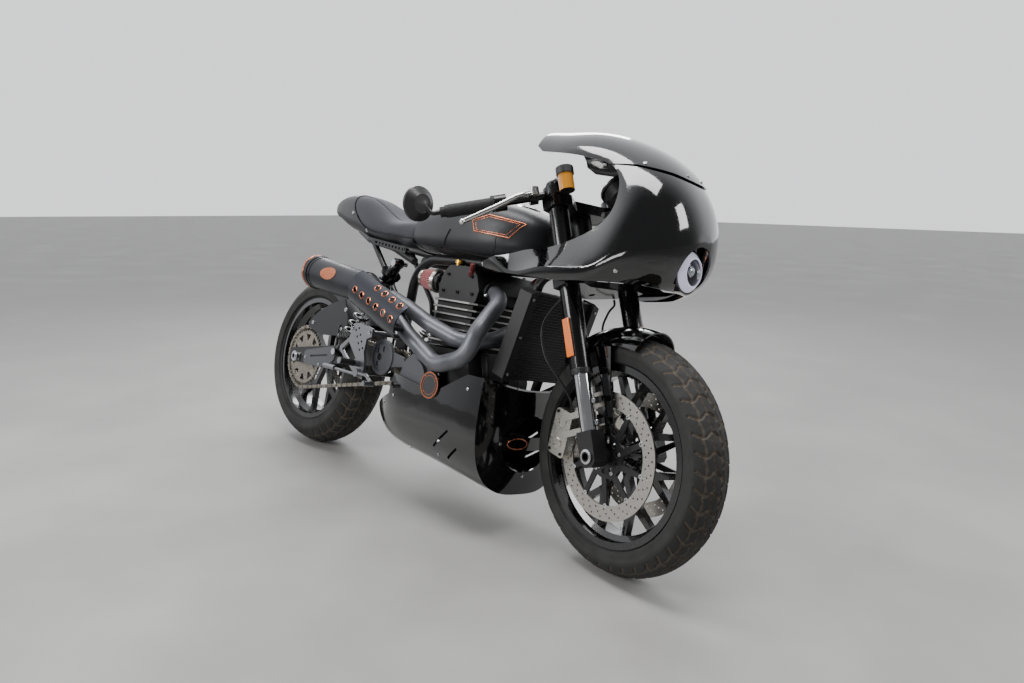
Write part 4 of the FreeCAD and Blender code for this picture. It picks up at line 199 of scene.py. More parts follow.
BODY_OF = {node: body for body, nodes in frame["record"]["behaviour"]["bodies"].items() for node in nodes}
SLOT_OF = {part["node"]: part["material_slot"] for part in frame["record"]["subparts"]}
INTO = Vector((0, 1, 0))

# Frame: welded steel tube in black powder coat, with the swingarm's plates and the rails that carry
# the seat. Each is the solid itself, joined smooth.
# powder coat: a fine leathery skin, dark and half matt
powder_coat = speckle(new_finish("black_powder_coat", "#101012", 0.42, Coat_Weight=0.15), 1.6, 0.34, 0.5, 0.25)


def settle(piece, body, finish, slot, *stands_for):
    """Gives a finished piece its material, its body and the nodes it stands for; `slot` is not used."""
    if finish:
        piece.data.materials.clear()
        piece.data.materials.append(finish)
    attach(piece, body)
    if stands_for:
        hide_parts(*stands_for)
    return piece


def shown(name, mesh):
    """A new object for a mesh."""
    piece = bpy.data.objects.new(name, mesh)
    bpy.context.scene.collection.objects.link(piece)
    return piece


def crease(mesh, limit):
    """Smooth faces, with edges sharper than the limit kept crisp."""
    made = bmesh.new()
    made.from_mesh(mesh)
    for face in made.faces:
        face.smooth = True
    for edge in made.edges:
        edge.smooth = len(edge.link_faces) == 2 and edge.calc_face_angle(0) < math.radians(limit)
    made.to_mesh(mesh)
    made.free()


def dressed(node, finish, limit=32, edge=0.0, second=None, where=None, place=None):
    """The node's own form, joined and smooth, softened at its edges; `where` picks faces in a
    frame's millimetres for a second finish."""
    mesh = frame["nodes"][node].data.copy()
    made = bmesh.new()
    made.from_mesh(mesh)
    bmesh.ops.remove_doubles(made, verts=made.verts, dist=0.00001)
    made.to_mesh(mesh)
    made.free()
    crease(mesh, limit)
    piece = shown(node + "_dressed", mesh)
    settle(piece, BODY_OF[node], finish, SLOT_OF[node], node)
    if second:
        mesh.materials.append(second)
        back = place.inverted()
        for face in mesh.polygons:
            if where(back @ face.center):
                face.material_index = 1
    if edge:
        bevel = piece.modifiers.new("edges", "BEVEL")
        bevel.width = edge / 1000
        bevel.segments = 2
        bevel.limit_method = "ANGLE"
        bevel.angle_limit = math.radians(limit)
        bevel.harden_normals = True
    return piece


for node in ("frame_backbone", "frame_cradle", "head_tube", "seat_rail"):
    dressed(node, powder_coat)

# Fasteners: socket-head screws, round caps and rivets of plated or blackened steel, set out on
# whatever they hold by one small tree of geometry nodes.
# bright zinc plate: cold and fairly clear
zinc_plate = speckle(new_finish("bright_zinc_plate", "#C9CACC", 0.26, 1.0), 6, 0.2, 0.36)
# blackened steel: a thin oil-black skin that still shines
black_oxide = speckle(new_finish("black_oxide", "#1B1B1D", 0.36, 0.6), 3, 0.3, 0.46)
# copper plate: warm, polished, a little uneven
copper_plate = speckle(new_finish("polished_copper", "#C77B5A", 0.24, 1.0), 9, 0.18, 0.36)


def turned(name, outline, place, sides=32):
    """A closed shape turned about the Z axis of a frame, from (radius, height) corners."""
    made = bmesh.new()
    rings = []
    for radius, height in outline:
        if radius < 0.0001:
            rings.append([made.verts.new((0, 0, height))] * sides)
        else:
            rings.append([made.verts.new((radius * math.cos(step * math.tau / sides),
                                          radius * math.sin(step * math.tau / sides), height))
                          for step in range(sides)])
    for low, high in zip(rings, rings[1:]):
        for step in range(sides):
            after = (step + 1) % sides
            corners = list(dict.fromkeys((low[step], low[after], high[after], high[step])))
            if len(corners) > 2:
                made.faces.new(corners)
    bmesh.ops.recalc_face_normals(made, faces=made.faces)
    made.transform(place)
    mesh = bpy.data.meshes.new(name)
    made.to_mesh(mesh)
    made.free()
    crease(mesh, 34)
    return mesh


def standing(start, way):
    """The turn and shift that stand a shape on a point, its Z axis along a direction."""
    turn = Vector(way).to_track_quat("Z", "X").to_matrix().to_4x4()
    return Matrix.Translation(Vector(start)) @ turn


def set_out_tree():
    """Geometry nodes that stand a pattern on every point, its Z along `way` and its X along `face`."""
    tree = bpy.data.node_groups.new("set_out", "GeometryNodeTree")
    for name, kind in (("Geometry", "NodeSocketGeometry"), ("Pattern", "NodeSocketObject"),
                       ("Finish", "NodeSocketMaterial"), ("Size", "NodeSocketFloat")):
        tree.interface.new_socket(name, in_out="INPUT", socket_type=kind)
    tree.interface.new_socket("Geometry", in_out="OUTPUT", socket_type="NodeSocketGeometry")
    inputs = add_node(tree, "NodeGroupInput")
    way = add_node(tree, "GeometryNodeInputNamedAttribute", {"Name": "way"}, data_type="FLOAT_VECTOR")
    face = add_node(tree, "GeometryNodeInputNamedAttribute", {"Name": "face"}, data_type="FLOAT_VECTOR")
    upright = add_node(tree, "FunctionNodeAlignRotationToVector", {"Vector": way.outputs["Attribute"]},
                       axis="Z")
    facing = add_node(tree, "FunctionNodeAlignRotationToVector",
                      {"Rotation": upright.outputs["Rotation"], "Vector": face.outputs["Attribute"]},
                      axis="X", pivot_axis="Z")
    pattern = add_node(tree, "GeometryNodeObjectInfo", {"Object": inputs.outputs["Pattern"]})
    points = add_node(tree, "GeometryNodeInstanceOnPoints", {
        "Points": inputs.outputs["Geometry"], "Instance": pattern.outputs["Geometry"],
        "Rotation": facing.outputs["Rotation"], "Scale": inputs.outputs["Size"]})
    real = add_node(tree, "GeometryNodeRealizeInstances", {"Geometry": points.outputs["Instances"]})
    painted = add_node(tree, "GeometryNodeSetMaterial", {"Geometry": real.outputs["Geometry"],
                                                         "Material": inputs.outputs["Finish"]})
    add_node(tree, "NodeGroupOutput", {"Geometry": painted.outputs["Geometry"]})
    return tree


SET_OUT = set_out_tree()


def set_out(name, pattern, spots, place, body, finish, slot, size=1.0):
    """A pattern repeated at (point, way) or (point, way, face) spots of a frame, as one plain mesh."""
    mesh = bpy.data.meshes.new(name)
    mesh.from_pydata([place @ Vector(spot[0]) for spot in spots], [], [])
    turn = place.to_3x3()
    for word, index in (("way", 1), ("face", 2)):
        field = mesh.attributes.new(word, "FLOAT_VECTOR", "POINT")
        for item, spot in zip(field.data, spots):
            given = Vector(spot[index]) if len(spot) > index else Vector(spot[1]).orthogonal()
            item.vector = (turn @ given).normalized()
    holder = shown(name + "_spots", mesh)
    maker = bpy.data.objects.new(name + "_pattern", pattern)
    bpy.context.scene.collection.objects.link(maker)
    spread = holder.modifiers.new("set_out", "NODES")
    spread.node_group = SET_OUT
    for item in SET_OUT.interface.items_tree:
        if item.in_out == "INPUT" and item.name == "Pattern":
            spread[item.identifier] = maker
        if item.in_out == "INPUT" and item.name == "Finish":
            spread[item.identifier] = finish
        if item.in_out == "INPUT" and item.name == "Size":
            spread[item.identifier] = size
    bpy.context.view_layer.update()
    result = bpy.data.meshes.new_from_object(holder.evaluated_get(bpy.context.evaluated_depsgraph_get()))
    bpy.data.objects.remove(holder)
    bpy.data.objects.remove(maker)
    crease(result, 34)
    return settle(shown(name, result), body, finish, slot)


def screw_head(radius, height):
    """A socket-head screw with a rounded rim and a recess, in metres about its own foot."""
    outline = [(0, height * 0.35), (radius * 0.5, height * 0.35), (radius * 0.5, height),
               (radius * 0.86, height), (radius, height * 0.8), (radius, -0.4), (0, -0.4)]
    return turned("screw_head", outline, MM, 14)


SKINS = {}


def touch(node, place, start, way=INTO):
    """Where a line in a frame meets a node's surface, and the way out of it there, in the frame."""
    if node not in SKINS:
        mesh = frame["nodes"][node].data
        SKINS[node] = BVHTree.FromPolygons([vertex.co for vertex in mesh.vertices],
                                           [tuple(face.vertices) for face in mesh.polygons])
    turn = place.to_3x3()
    spot, out, index, far = SKINS[node].ray_cast(place @ Vector(start), (turn @ Vector(way)).normalized())
    if spot is None:
        return None
    back = place.inverted()
    outward = (back.to_3x3() @ out).normalized()
    if outward.dot(Vector(way)) > 0:
        outward.negate()
    return back @ spot, outward


def both_flanks(node, place, spots, reach=600):
    """Spots on the right and left of a node, from (x, z) pairs."""
    found = []
    for x, z in spots:
        for side in (-1, 1):
            hit = touch(node, place, (x, side * reach, z), (0, -side, 0))
            if hit:
                found.append(hit)
    return found


set_out("pivot_screws", screw_head(8, 5), both_flanks("frame_cradle", CHASSIS, [(-178, 455), (-196, 425)], 200),
        CHASSIS, "chassis", zinc_plate, "chain_steel")


# Wheels: cast rims in gloss black paint, each with a valve and its hub, and tyres of vulcanised rubber
# whose dual-sport tread is cut in zigzag rows of blocks, with a little dust left in the grooves.
# wheel paint: deep gloss under a clear coat
wheel_paint = speckle(new_finish("gloss_wheel_paint", "#070708", 0.22, Coat_Weight=0.8, Coat_Roughness=0.05),
                      4, 0.2, 0.3)
# tyre rubber: matt and nearly black, with tan dust in the grooves
rubber = speckle(new_finish("tyre_rubber", "#1E1E1D", 0.78), 45, 0.66, 0.88, 0.1)
rubber_tree = rubber.node_tree
in_groove = add_node(rubber_tree, "ShaderNodeAttribute", attribute_name="groove")
dusting = add_node(rubber_tree, "ShaderNodeValToRGB", {"Fac": in_groove.outputs["Fac"]})
dusting.color_ramp.elements[0].color = linear("#201F1E")
dusting.color_ramp.elements[1].color = linear("#5A5044")
rubber_tree.links.new(dusting.outputs["Color"], rubber_tree.nodes["Principled BSDF"].inputs["Base Color"])
for node in ("front_rim", "rear_rim"):
    dressed(node, wheel_paint)


BEAD_RADIUS = 228.3
GROOVE_DEPTH = 5.2
# how far along a block the cross groove runs, from the crown out to the shoulder
ZIGZAG = [(0.0, 0.0), (0.3, 0.42), (0.62, 0.05), (1.0, 0.45)]


def cut_tyre(node, place, radius, half, crown, rim_half, blocks, groove):
    """A tyre as a fine net over its section, with the tread's grooves pressed in."""
    side = half * 0.97
    drop = crown * (1 - math.cos(math.radians(62)))
    bend = (side ** 2 + drop ** 2) / (2 * drop)
    shoulder = math.asin(side / bend)
    steps = 44
    section = []
    for step in range(steps + 1):
        turn = shoulder * (2 * step / steps - 1)
        section.append((bend * math.sin(turn), radius - bend * (1 - math.cos(turn)), bend * turn))
    waist = (BEAD_RADIUS + section[0][1]) / 2 + 3
    wall = [(half - 0.2, waist + 13), (half, waist + 2), (half - 0.9, waist), (half - 0.4, waist - 6),
            (half - 3, waist - 17), (rim_half + 2, BEAD_RADIUS + 6), (rim_half - 4.3, BEAD_RADIUS)]
    section = ([(-y, z, None) for y, z in reversed(wall)] + section + [(y, z, None) for y, z in wall])
    across = radius * math.tau / blocks
    count = blocks * 14
    made = bmesh.new()
    cut = made.verts.layers.float.new("groove")
    rings = []
    for index in range(count):
        angle = index * math.tau / count
        ring = []
        for y, z, reach in section:
            depth = 0.0
            if reach is not None:
                far = abs(reach)
                part = far / (bend * shoulder)
                lead = 0.0
                for (low, first), (high, last) in zip(ZIGZAG, ZIGZAG[1:]):
                    if low <= part <= high:
                        lead = first + (last - first) * (part - low) / (high - low)
                stagger = 0.5 if reach > 0 else 0.0
                along = (index * blocks / count + lead + stagger) % 1.0
                gap = min(along, 1 - along) * across
                depth = max(0.0, min(1.0, (groove + 1.2 - gap) / 1.8)) if part < 0.97 else 0.0
                weave = 0.025 * math.cos(index * blocks / count * math.tau)
                for line in (0.0, 0.31, 0.64):
                    off = abs(part - line - weave) * bend * shoulder
                    depth = max(depth, max(0.0, min(1.0, (groove * 0.55 + 1.4 - off) / 1.6)) * 0.85)
            low = z - GROOVE_DEPTH * depth
            ring.append(made.verts.new((low * math.sin(angle), y, low * math.cos(angle))))
            ring[-1][cut] = depth
        rings.append(ring)
    for index in range(count):
        ring, after = rings[index], rings[(index + 1) % count]
        for step in range(len(section) - 1):
            made.faces.new((ring[step], after[step], after[step + 1], ring[step + 1]))
        made.faces.new((ring[0], ring[-1], after[-1], after[0]))
    bmesh.ops.recalc_face_normals(made, faces=made.faces)
    made.transform(place)
    mesh = bpy.data.meshes.new(node + "_cut")
    made.to_mesh(mesh)
    made.free()
    crease(mesh, 30)
    return settle(shown(node + "_cut", mesh), BODY_OF[node], rubber, SLOT_OF[node], node)


TREAD_BLOCKS = 42
cut_tyre("front_tyre", FRONT_WHEEL, FRONT_RADIUS, 60, 62, 52, TREAD_BLOCKS, 2.5)
cut_tyre("rear_tyre", REAR_WHEEL, REAR_RADIUS, 80, 82, 68, TREAD_BLOCKS, 2.7)
for place, body, rim_half in ((FRONT_WHEEL, "front_wheel", 52), (REAR_WHEEL, "rear_wheel", 68)):
    settle(shown(body + "_valve", turned("valve", [(0, 0), (3.2, 0), (3.2, 16), (4.4, 16), (4.4, 26), (0, 27)],
                                         place @ standing((40, -12, -198), (-0.1, 0, 1)), 12)),
           body, zinc_plate, "chain_steel")

# Brake discs: ground stainless bands, drilled in three staggered rings and carried by silver bobbins
# on black spiders that screw to the hub.
# ground steel: warm and half bright, with a fine grain
ground_steel = speckle(new_finish("ground_stainless_steel", "#BDB8B1", 0.3, 1.0), 2.5, 0.27, 0.36, 0.0,
                       "#B8B3AC", "#C2BEB8")


def ring_of(radius, count, start=0.0):
    """Points round a circle."""
    return [(radius * math.cos(start + step * math.tau / count),
             radius * math.sin(start + step * math.tau / count)) for step in range(count)]


def hole_at(x, y, radius, sides):
    """The outline of a small hole."""
    return [(x + dx, y + dy) for dx, dy in ring_of(radius, sides)]


def sheet_cut(name, loops, thickness, place):
    """A flat plate cut to an outline with holes, lying in the XY plane of a frame, `thickness` mm."""
    drawn = bpy.data.curves.new(name, "CURVE")
    drawn.dimensions = "2D"
    drawn.fill_mode = "BOTH"
    drawn.extrude = thickness / 2
    for loop in loops:
        line = drawn.splines.new("POLY")
        line.points.add(len(loop) - 1)
        for point, (x, y) in zip(line.points, loop):
            point.co = (x, y, 0, 1)
        line.use_cyclic_u = True
    holder = bpy.data.objects.new(name, drawn)
    bpy.context.scene.collection.objects.link(holder)
    bpy.context.view_layer.update()
    mesh = bpy.data.meshes.new_from_object(holder.evaluated_get(bpy.context.evaluated_depsgraph_get()))
    bpy.data.objects.remove(holder)
    made = bmesh.new()
    made.from_mesh(mesh)
    bmesh.ops.remove_doubles(made, verts=made.verts, dist=0.001)
    bmesh.ops.recalc_face_normals(made, faces=made.faces)
    made.transform(place)
    made.to_mesh(mesh)
    made.free()
    crease(mesh, 34)
    return mesh


FACING_SIDE = Matrix.Rotation(math.radians(90), 4, "X")


def joined_up(name, *meshes):
    """Several meshes as one."""
    made = bmesh.new()
    for mesh in meshes:
        made.from_mesh(mesh)
    whole = bpy.data.meshes.new(name)
    made.to_mesh(whole)
    made.free()
    return whole


def disc_set(body, place, radius, band, offsets, node):
    """Drilled bands, spiders and bobbins on one wheel."""
    inner = radius - band
    rows = [(inner + band * (0.24 + 0.26 * row), row / 3) for row in range(3)]
    holes = [hole_at(*spot, 2.6, 8) for reach, phase in rows
             for spot in ring_of(reach, 30, (phase + 0.1) * math.tau / 30)]
    spider = [ring_of(56 if radius > 120 else 52, 48), ring_of(20.5, 32)]
    spider += [hole_at(x, y, 7, 12) for x, y in ring_of(38, 10, 0.31)]
    bands, spiders, bobbins, hub_screws = [], [], [], []
    for offset in offsets:
        level = place @ Matrix.Translation((0, offset, 0)) @ FACING_SIDE
        bands.append(sheet_cut("band", [ring_of(radius - 0.1, 120), ring_of(inner, 96)] + holes, 4.6, level))
        spiders.append(sheet_cut("spider", spider, 5, level))
        out = -1 if offset < 0 else 1
        for step in range(10):
            angle = step * math.tau / 10 + math.tau / 4
            lean = angle + 0.16
            arm = [(50 * math.cos(angle - 0.16), 50 * math.sin(angle - 0.16)),
                   (50 * math.cos(angle + 0.2), 50 * math.sin(angle + 0.2)),
                   ((inner + 5) * math.cos(lean + 0.05), (inner + 5) * math.sin(lean + 0.05)),
                   ((inner + 5) * math.cos(lean - 0.05), (inner + 5) * math.sin(lean - 0.05))]
            spiders.append(sheet_cut("arm", [arm], 4.4, level))
            bobbins.append(((inner * math.cos(lean), offset + out * 2.2, inner * math.sin(lean)), (0, out, 0)))
            if step % 2 == 0:
                hub_screws.append(((46 * math.cos(angle), offset + out * 2.4, 46 * math.sin(angle)),
                                   (0, out, 0)))
    settle(shown(node + "_bands", joined_up("bands", *bands)), body, ground_steel, SLOT_OF[node], node)
    settle(shown(node + "_spiders", joined_up("spiders", *spiders)), body, powder_coat, "satin_black_metal")
    ring = turned("bobbin", [(2.4, 1.2), (5.6, 1.2), (6.4, 0.6), (6.4, -2), (2.4, -2), (2.4, 1.2)], MM, 14)
    set_out(node + "_bobbins", ring, bobbins, place, body, zinc_plate, "disc_steel")
    set_out(node + "_screws", screw_head(5, 2.6), hub_screws, place, body, zinc_plate, "chain_steel")


disc_set("front_wheel", FRONT_WHEEL, 160, 38, (-63, 63), "front_discs")
disc_set("rear_wheel", REAR_WHEEL, 110, 34, (84,), "rear_disc")

# Final drive: a hardened steel sprocket and a roller chain of pressed plates, oiled and a little dull,
# with a link every 15.9 mm round both sprockets.
# plated chain steel: warm grey from its oil
chain_steel = speckle(new_finish("oiled_chain_steel", "#9B968C", 0.36, 1.0), 8, 0.3, 0.5, 0.0,
                      "#857F74", "#A8A398")
dressed("rear_sprocket", chain_steel)
dressed("drive_sprocket", chain_steel)
REAR_AXLE = Vector((-707.5, 0, 315))
GEAR = Vector((-123, 0, 375))
CHAIN_SIDE = -97.0
chain_heading = math.atan2(GEAR.z - REAR_AXLE.z, GEAR.x - REAR_AXLE.x)
chain_span = (GEAR - REAR_AXLE).length
CHAIN_BIG, CHAIN_SMALL = 114.0, 48.5
chain_tilt = math.acos((CHAIN_BIG - CHAIN_SMALL) / chain_span)


def chain_points(pitch):
    """Points a pitch apart round both sprockets."""
    def on(centre, radius, angle):
        return Vector((centre.x + radius * math.cos(angle), CHAIN_SIDE, centre.z + radius * math.sin(angle)))
    up, down = chain_heading + chain_tilt, chain_heading - chain_tilt
    route = [on(GEAR, CHAIN_SMALL, up + (down - up) * step / 20) for step in range(21)]
    route += [on(REAR_AXLE, CHAIN_BIG, down + (up - math.tau - down) * step / 60) for step in range(61)]
    route.append(route[0])
    lengths = [0.0]
    for start, end in zip(route, route[1:]):
        lengths.append(lengths[-1] + (end - start).length)
    count = 2 * round(lengths[-1] / pitch / 2)
    found, leg = [], 0
    for index in range(count):
        want = lengths[-1] * index / count
        while lengths[leg + 1] < want:
            leg += 1
        part = (want - lengths[leg]) / (lengths[leg + 1] - lengths[leg])
        found.append(route[leg].lerp(route[leg + 1], part))
    return found


CHAIN_PITCH = 15.875
links = chain_points(CHAIN_PITCH)
PLATE_END, PLATE_WAIST = 6.6, 4.6
waisted = []
for middle, first in ((-8, 60), (8, -120)):
    for angle in (math.radians(first + step * 30) for step in range(9)):
        waisted.append((middle + PLATE_END * math.cos(angle), PLATE_END * math.sin(angle)))
    waisted.append((0, math.copysign(PLATE_WAIST, middle)))


def link(half_width):
    """Two side plates with their pins, in metres."""
    plates = [sheet_cut("plate", [waisted], 1.6,
                        MM @ Matrix.Translation((0, side * half_width, 0)) @ FACING_SIDE) for side in (-1, 1)]
    pins = [turned("pin", [(0, -7.6), (2.6, -7.6), (2.6, 7.6), (0, 7.6)],
                   MM @ Matrix.Translation((x, 0, 0)) @ FACING_SIDE, 8) for x in (-8, 8)]
    return joined_up("link", *plates, *pins)


for start, half_width, word in ((0, 6.6, "outer"), (1, 4.7, "inner")):
    spots = []
    for index in range(start, len(links), 2):
        here, after = links[index], links[(index + 1) % len(links)]
        run = (after - here).normalized()
        spots.append(((here + after) / 2, Vector((0, 1, 0)).cross(run) * -1, run))
    made = set_out("chain_%s_links" % word, link(half_width), spots, CHASSIS, "chassis", chain_steel,
                   "chain_steel")
    if word == "outer":
        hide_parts("drive_chain")

# Fork: upside-down legs, black anodised above, with bright chrome sliders below that run into black
# cast feet; two machined yokes hold them, with pinch screws at each clamp.
# black anodising: satin and slightly blue, its roughness varying finely
black_anodise = speckle(new_finish("black_anodised_aluminium", "#0B0B0D", 0.28, 0.5, Coat_Weight=0.4), 2.5,
                        0.22, 0.32)
# hard chrome: almost a mirror
hard_chrome = speckle(new_finish("hard_chrome", "#DFE0E2", 0.08, 1.0), 20, 0.05, 0.12)
# cast aluminium in black paint
black_casting = speckle(new_finish("painted_black_casting", "#0F0F10", 0.46, Coat_Weight=0.1), 2.2,
                        0.38, 0.55, 0.3)
LEG_SPREAD = 108
dressed("fork_tubes", black_anodise)
dressed("fork_feet", black_casting, second=hard_chrome, place=HEAD,
        where=lambda spot: spot.z > 68 and math.hypot(spot.x - LEG_X, abs(spot.y) - LEG_SPREAD) < 23)
for node in ("upper_yoke", "lower_yoke"):
    dressed(node, black_anodise, edge=1.6)
dressed("front_axle", black_casting)
collars = []
clamp_screws = []
for side in (-1, 1):
    leg = HEAD @ Matrix.Translation((LEG_X, side * LEG_SPREAD, 0))
    # a wiper seal where the tube ends, a top cap and its copper adjuster
    collars.append(turned("wiper", [(22.4, 204), (28.2, 204), (28.6, 206), (28.6, 217), (27.1, 219),
                                    (27.1, 211.5), (22.4, 211.5), (22.4, 204)], leg, 40))
    collars.append(turned("cap", [(0, 724.3), (25, 724.3), (25, 729), (23, 731), (12, 731), (12, 728), (0, 728)],
                          leg, 36))
    for height in (662, 676, 444, 458):
        clamp_screws.append(((LEG_X - 40, side * 104, height), (-1, 0, 0)))
    for height in (-8, 8):
        clamp_screws.append(((LEG_X - 24, side * LEG_SPREAD, height - 10), (-1, 0, 0)))
settle(shown("fork_seals", joined_up("fork_seals", *collars)), "steering", black_casting, "satin_black_metal")
found = [touch(node, HEAD, (LEG_X - 200, spot[0][1], spot[0][2]), (1, 0, 0))
         for spot in clamp_screws for node in (("upper_yoke" if spot[0][2] > 600 else "lower_yoke")
                                                if spot[0][2] > 100 else "fork_feet",)]
set_out("clamp_screws", screw_head(5, 4), [hit for hit in found if hit], HEAD, "steering", zinc_plate,
        "chain_steel")
settle(shown("preload_adjusters", joined_up("adjusters", *[
    turned("adjuster", [(0, 728), (9, 728), (9, 737), (8, 738), (0, 738)],
           HEAD @ Matrix.Translation((LEG_X, side * LEG_SPREAD, 0)), 6) for side in (-1, 1)])),
    "steering", copper_plate, "lever_metal")
settle(shown("axle_bosses", joined_up("bosses", *[
    turned("boss", [(9.2, 21), (15, 21), (18, 23), (18, 26.5), (12.6, 27.8), (9.2, 27.8), (9.2, 21)],
           HEAD @ standing((LEG_X, side * LEG_SPREAD, 0), (0, side, 0)), 32) for side in (-1, 1)])),
    "steering", zinc_plate, "calliper_metal")

# Amber reflectors: moulded acrylic with fine prisms behind a smooth face, in thin black holders.
# amber acrylic: saturated orange, glossy, with a faint painted glow from its emission although a reflector is no
# lamp
amber = new_finish("amber_acrylic_painted_glow", "#E8731A", 0.12, Coat_Weight=0.8, Emission_Strength=0.12)
amber.node_tree.nodes["Principled BSDF"].inputs["Emission Color"].default_value = linear("#E8731A")
dressed("fork_reflectors", amber)

# Front fender: thin pressed glass fibre in gloss black lacquer with plates down to the feet.
# lacquer: jet black under a deep clear coat, with a faint orange peel every few millimetres
lacquer = speckle(new_finish("gloss_black_lacquer", "#030304", 0.1, Coat_Weight=1.0, Coat_Roughness=0.02,
                             Specular_IOR_Level=0.45), 9, 0.07, 0.13, 0.03)
dressed("front_fender", lacquer)
fender_screws = [touch("front_fender", HEAD, (LEG_X + 22, side * 300, height), (0, -side, 0))
                 for side in (-1, 1) for height in (81, 135)]
set_out("fender_screws", screw_head(6.5, 4), [hit for hit in fender_screws if hit], HEAD, "steering",
        zinc_plate, "chain_steel")

# Front brakes: radial four-piston callipers in nickel, with their pistons' caps, a bridge pin and a
# bleed nipple, fed by black hoses with crimped ends.
# nickel plate: warm silver, satin
nickel = speckle(new_finish("nickel_plated_aluminium", "#C8C4BC", 0.28, 1.0), 7, 0.22, 0.4, 0.04)
dressed("front_callipers", nickel, edge=2.2)
calliper_turn = Matrix.Rotation(math.radians(32), 4, "Y")
CALLIPER_MIDDLE = Vector((LEG_X + 150 * math.cos(math.radians(148)), 0, 150 * math.sin(math.radians(148))))
caps, pins = [], []
for side in (-1, 1):
    for face in (-1, 1):
        for x, z in ((-2, 30), (-2, -30)):
            spot = CALLIPER_MIDDLE + Vector((0, side * 63, 0)) + calliper_turn @ Vector((x, face * 31, z))
            caps.append((spot, (0, face, 0)))
        for x, z in ((20, 52), (20, -52), (-24, 52), (-24, -52)):
            spot = CALLIPER_MIDDLE + Vector((0, side * 63, 0)) + calliper_turn @ Vector((x, face * 31, z))
            pins.append((spot, (0, face, 0)))
piston_cap = turned("piston_cap", [(0, 1.4), (9, 1.4), (9, 3.4), (14.5, 3.4), (16, 2), (16, -1), (0, -1)],
                    MM, 28)
set_out("piston_caps", piston_cap, caps, HEAD, "steering", nickel, "calliper_metal")
set_out("calliper_screws", screw_head(4.2, 3), pins, HEAD, "steering", black_oxide, "chain_steel")
# moulded hose: black, half glossy
hose_skin = speckle(new_finish("moulded_rubber_hose", "#0C0C0D", 0.4), 3, 0.34, 0.5, 0.1)
dressed("brake_hoses", hose_skin)

# Handlebars: clip-ons in black anodising with ribbed rubber grips, polished levers, round bar-end
# mirrors, and a clear reservoir of amber fluid under a black cap.
SWEEP, DROP = math.radians(33), math.radians(5)
# grip rubber: matt, with a close pattern of ribs
grip_rubber = speckle(new_finish("grip_rubber", "#111112", 0.66), 2.4, 0.58, 0.76, 0.4)
# polished aluminium: bright, with faint lines along it
polished = speckle(new_finish("polished_aluminium", "#D8D7D5", 0.16, 1.0), 12, 0.1, 0.24)
dressed("clip_on_bars", black_anodise, edge=0.8)
bars = {}
for side in (-1, 1):
    root = Vector((LEG_X, side * LEG_SPREAD, 700))
    way = Vector((-math.sin(SWEEP) * math.cos(DROP), side * math.cos(SWEEP) * math.cos(DROP), -math.sin(DROP)))
    bars[side] = (root, way, Vector((math.cos(SWEEP), side * math.sin(SWEEP), 0)))


def bar_frame(side):
    """A handlebar's own frame, its Z axis out along the bar."""
    root, way, forward = bars[side]
    return HEAD @ standing(root, way)


dressed("control_levers", black_anodise, second=polished, place=HEAD,
        where=lambda spot: (spot - bars[-1 if spot.y < 0 else 1][0]).dot(bars[-1 if spot.y < 0 else 1][2]) > 27)
ribs = []
for side in (-1, 1):
    outline = []
    for step in range(20):
        low = 174.5 + step * 5.9
        outline += [(17.15, low), (17.7, low + 1.2), (17.7, low + 3.4), (17.15, low + 4.6)]
    ribs.append(turned("ribs", [(11.2, 173)] + outline + [(11.2, 293)], bar_frame(side), 36))
dressed("grips", grip_rubber)
settle(shown("grip_ribs", joined_up("grip_ribs", *ribs)), "steering", grip_rubber, "grip_rubber")
buttons = []
for side in (-1, 1):
    root, way, forward = bars[side]
    for along in (146, 158):
        buttons.append((root + way * along + Vector((-forward.x * 14, -forward.y * 14, 18)),
                        (-forward.x, -forward.y, 1)))
set_out("switch_buttons", turned("button", [(0, 3.4), (3.6, 3.4), (4.2, 2.6), (4.2, -3), (0, -3)], MM, 16),
        buttons, HEAD, "steering", copper_plate, "lever_metal")
# mirror glass: silvered behind clear glass, within the shell's rim
mirror_glass = new_finish("silvered_glass", "#C9D0D6", 0.03, 1.0)
dressed("bar_end_mirrors", black_casting)
panes = []
for side in (-1, 1):
    root, way, forward = bars[side]
    centre = root + way * (300 + 14.3 + 58) + Vector((10, 0, 30))
    face = Vector((-0.92, side * 0.10, 0.38)).normalized()
    panes.append(turned("pane", [(0, 8.6), (42.5, 8.6), (43, 8.2), (43, 7), (0, 7)],
                        HEAD @ standing(centre, face), 48))
settle(shown("mirror_panes", joined_up("mirror_panes", *panes)), "steering", mirror_glass, "mirror_black")
# reservoir: clear plastic with amber fluid, seen as one translucent amber cup
fluid = new_finish("amber_brake_fluid", "#B5781E", 0.14, Coat_Weight=0.7)
RESERVOIR_X, RESERVOIR_Y = LEG_X + 77, -142
dressed("brake_reservoir", fluid, second=black_casting, place=HEAD,
        where=lambda spot: (spot.z > 709.5 or spot.z < 667.5
                            or math.hypot(spot.x - RESERVOIR_X, spot.y - RESERVOIR_Y) > 20.8))
settle(shown("reservoir_cap", turned("reservoir_cap", [(0, 710.8), (22.6, 712), (23.4, 713), (23.4, 729),
                                                        (21, 731.2), (0, 731.2)],
                                     HEAD @ Matrix.Translation((RESERVOIR_X, RESERVOIR_Y, 0)), 24)),
       "steering", black_casting, "satin_black_metal")

# Instruments: a round gauge in a black ring with a plain white-marked dial behind glass, on the
# bracket that also holds the lamp and the shell.
# printed dial: black ink behind flat glass
dial_black = new_finish("printed_dial", "#0A0A0C", 0.3, Coat_Weight=1.0, Coat_Roughness=0.02)
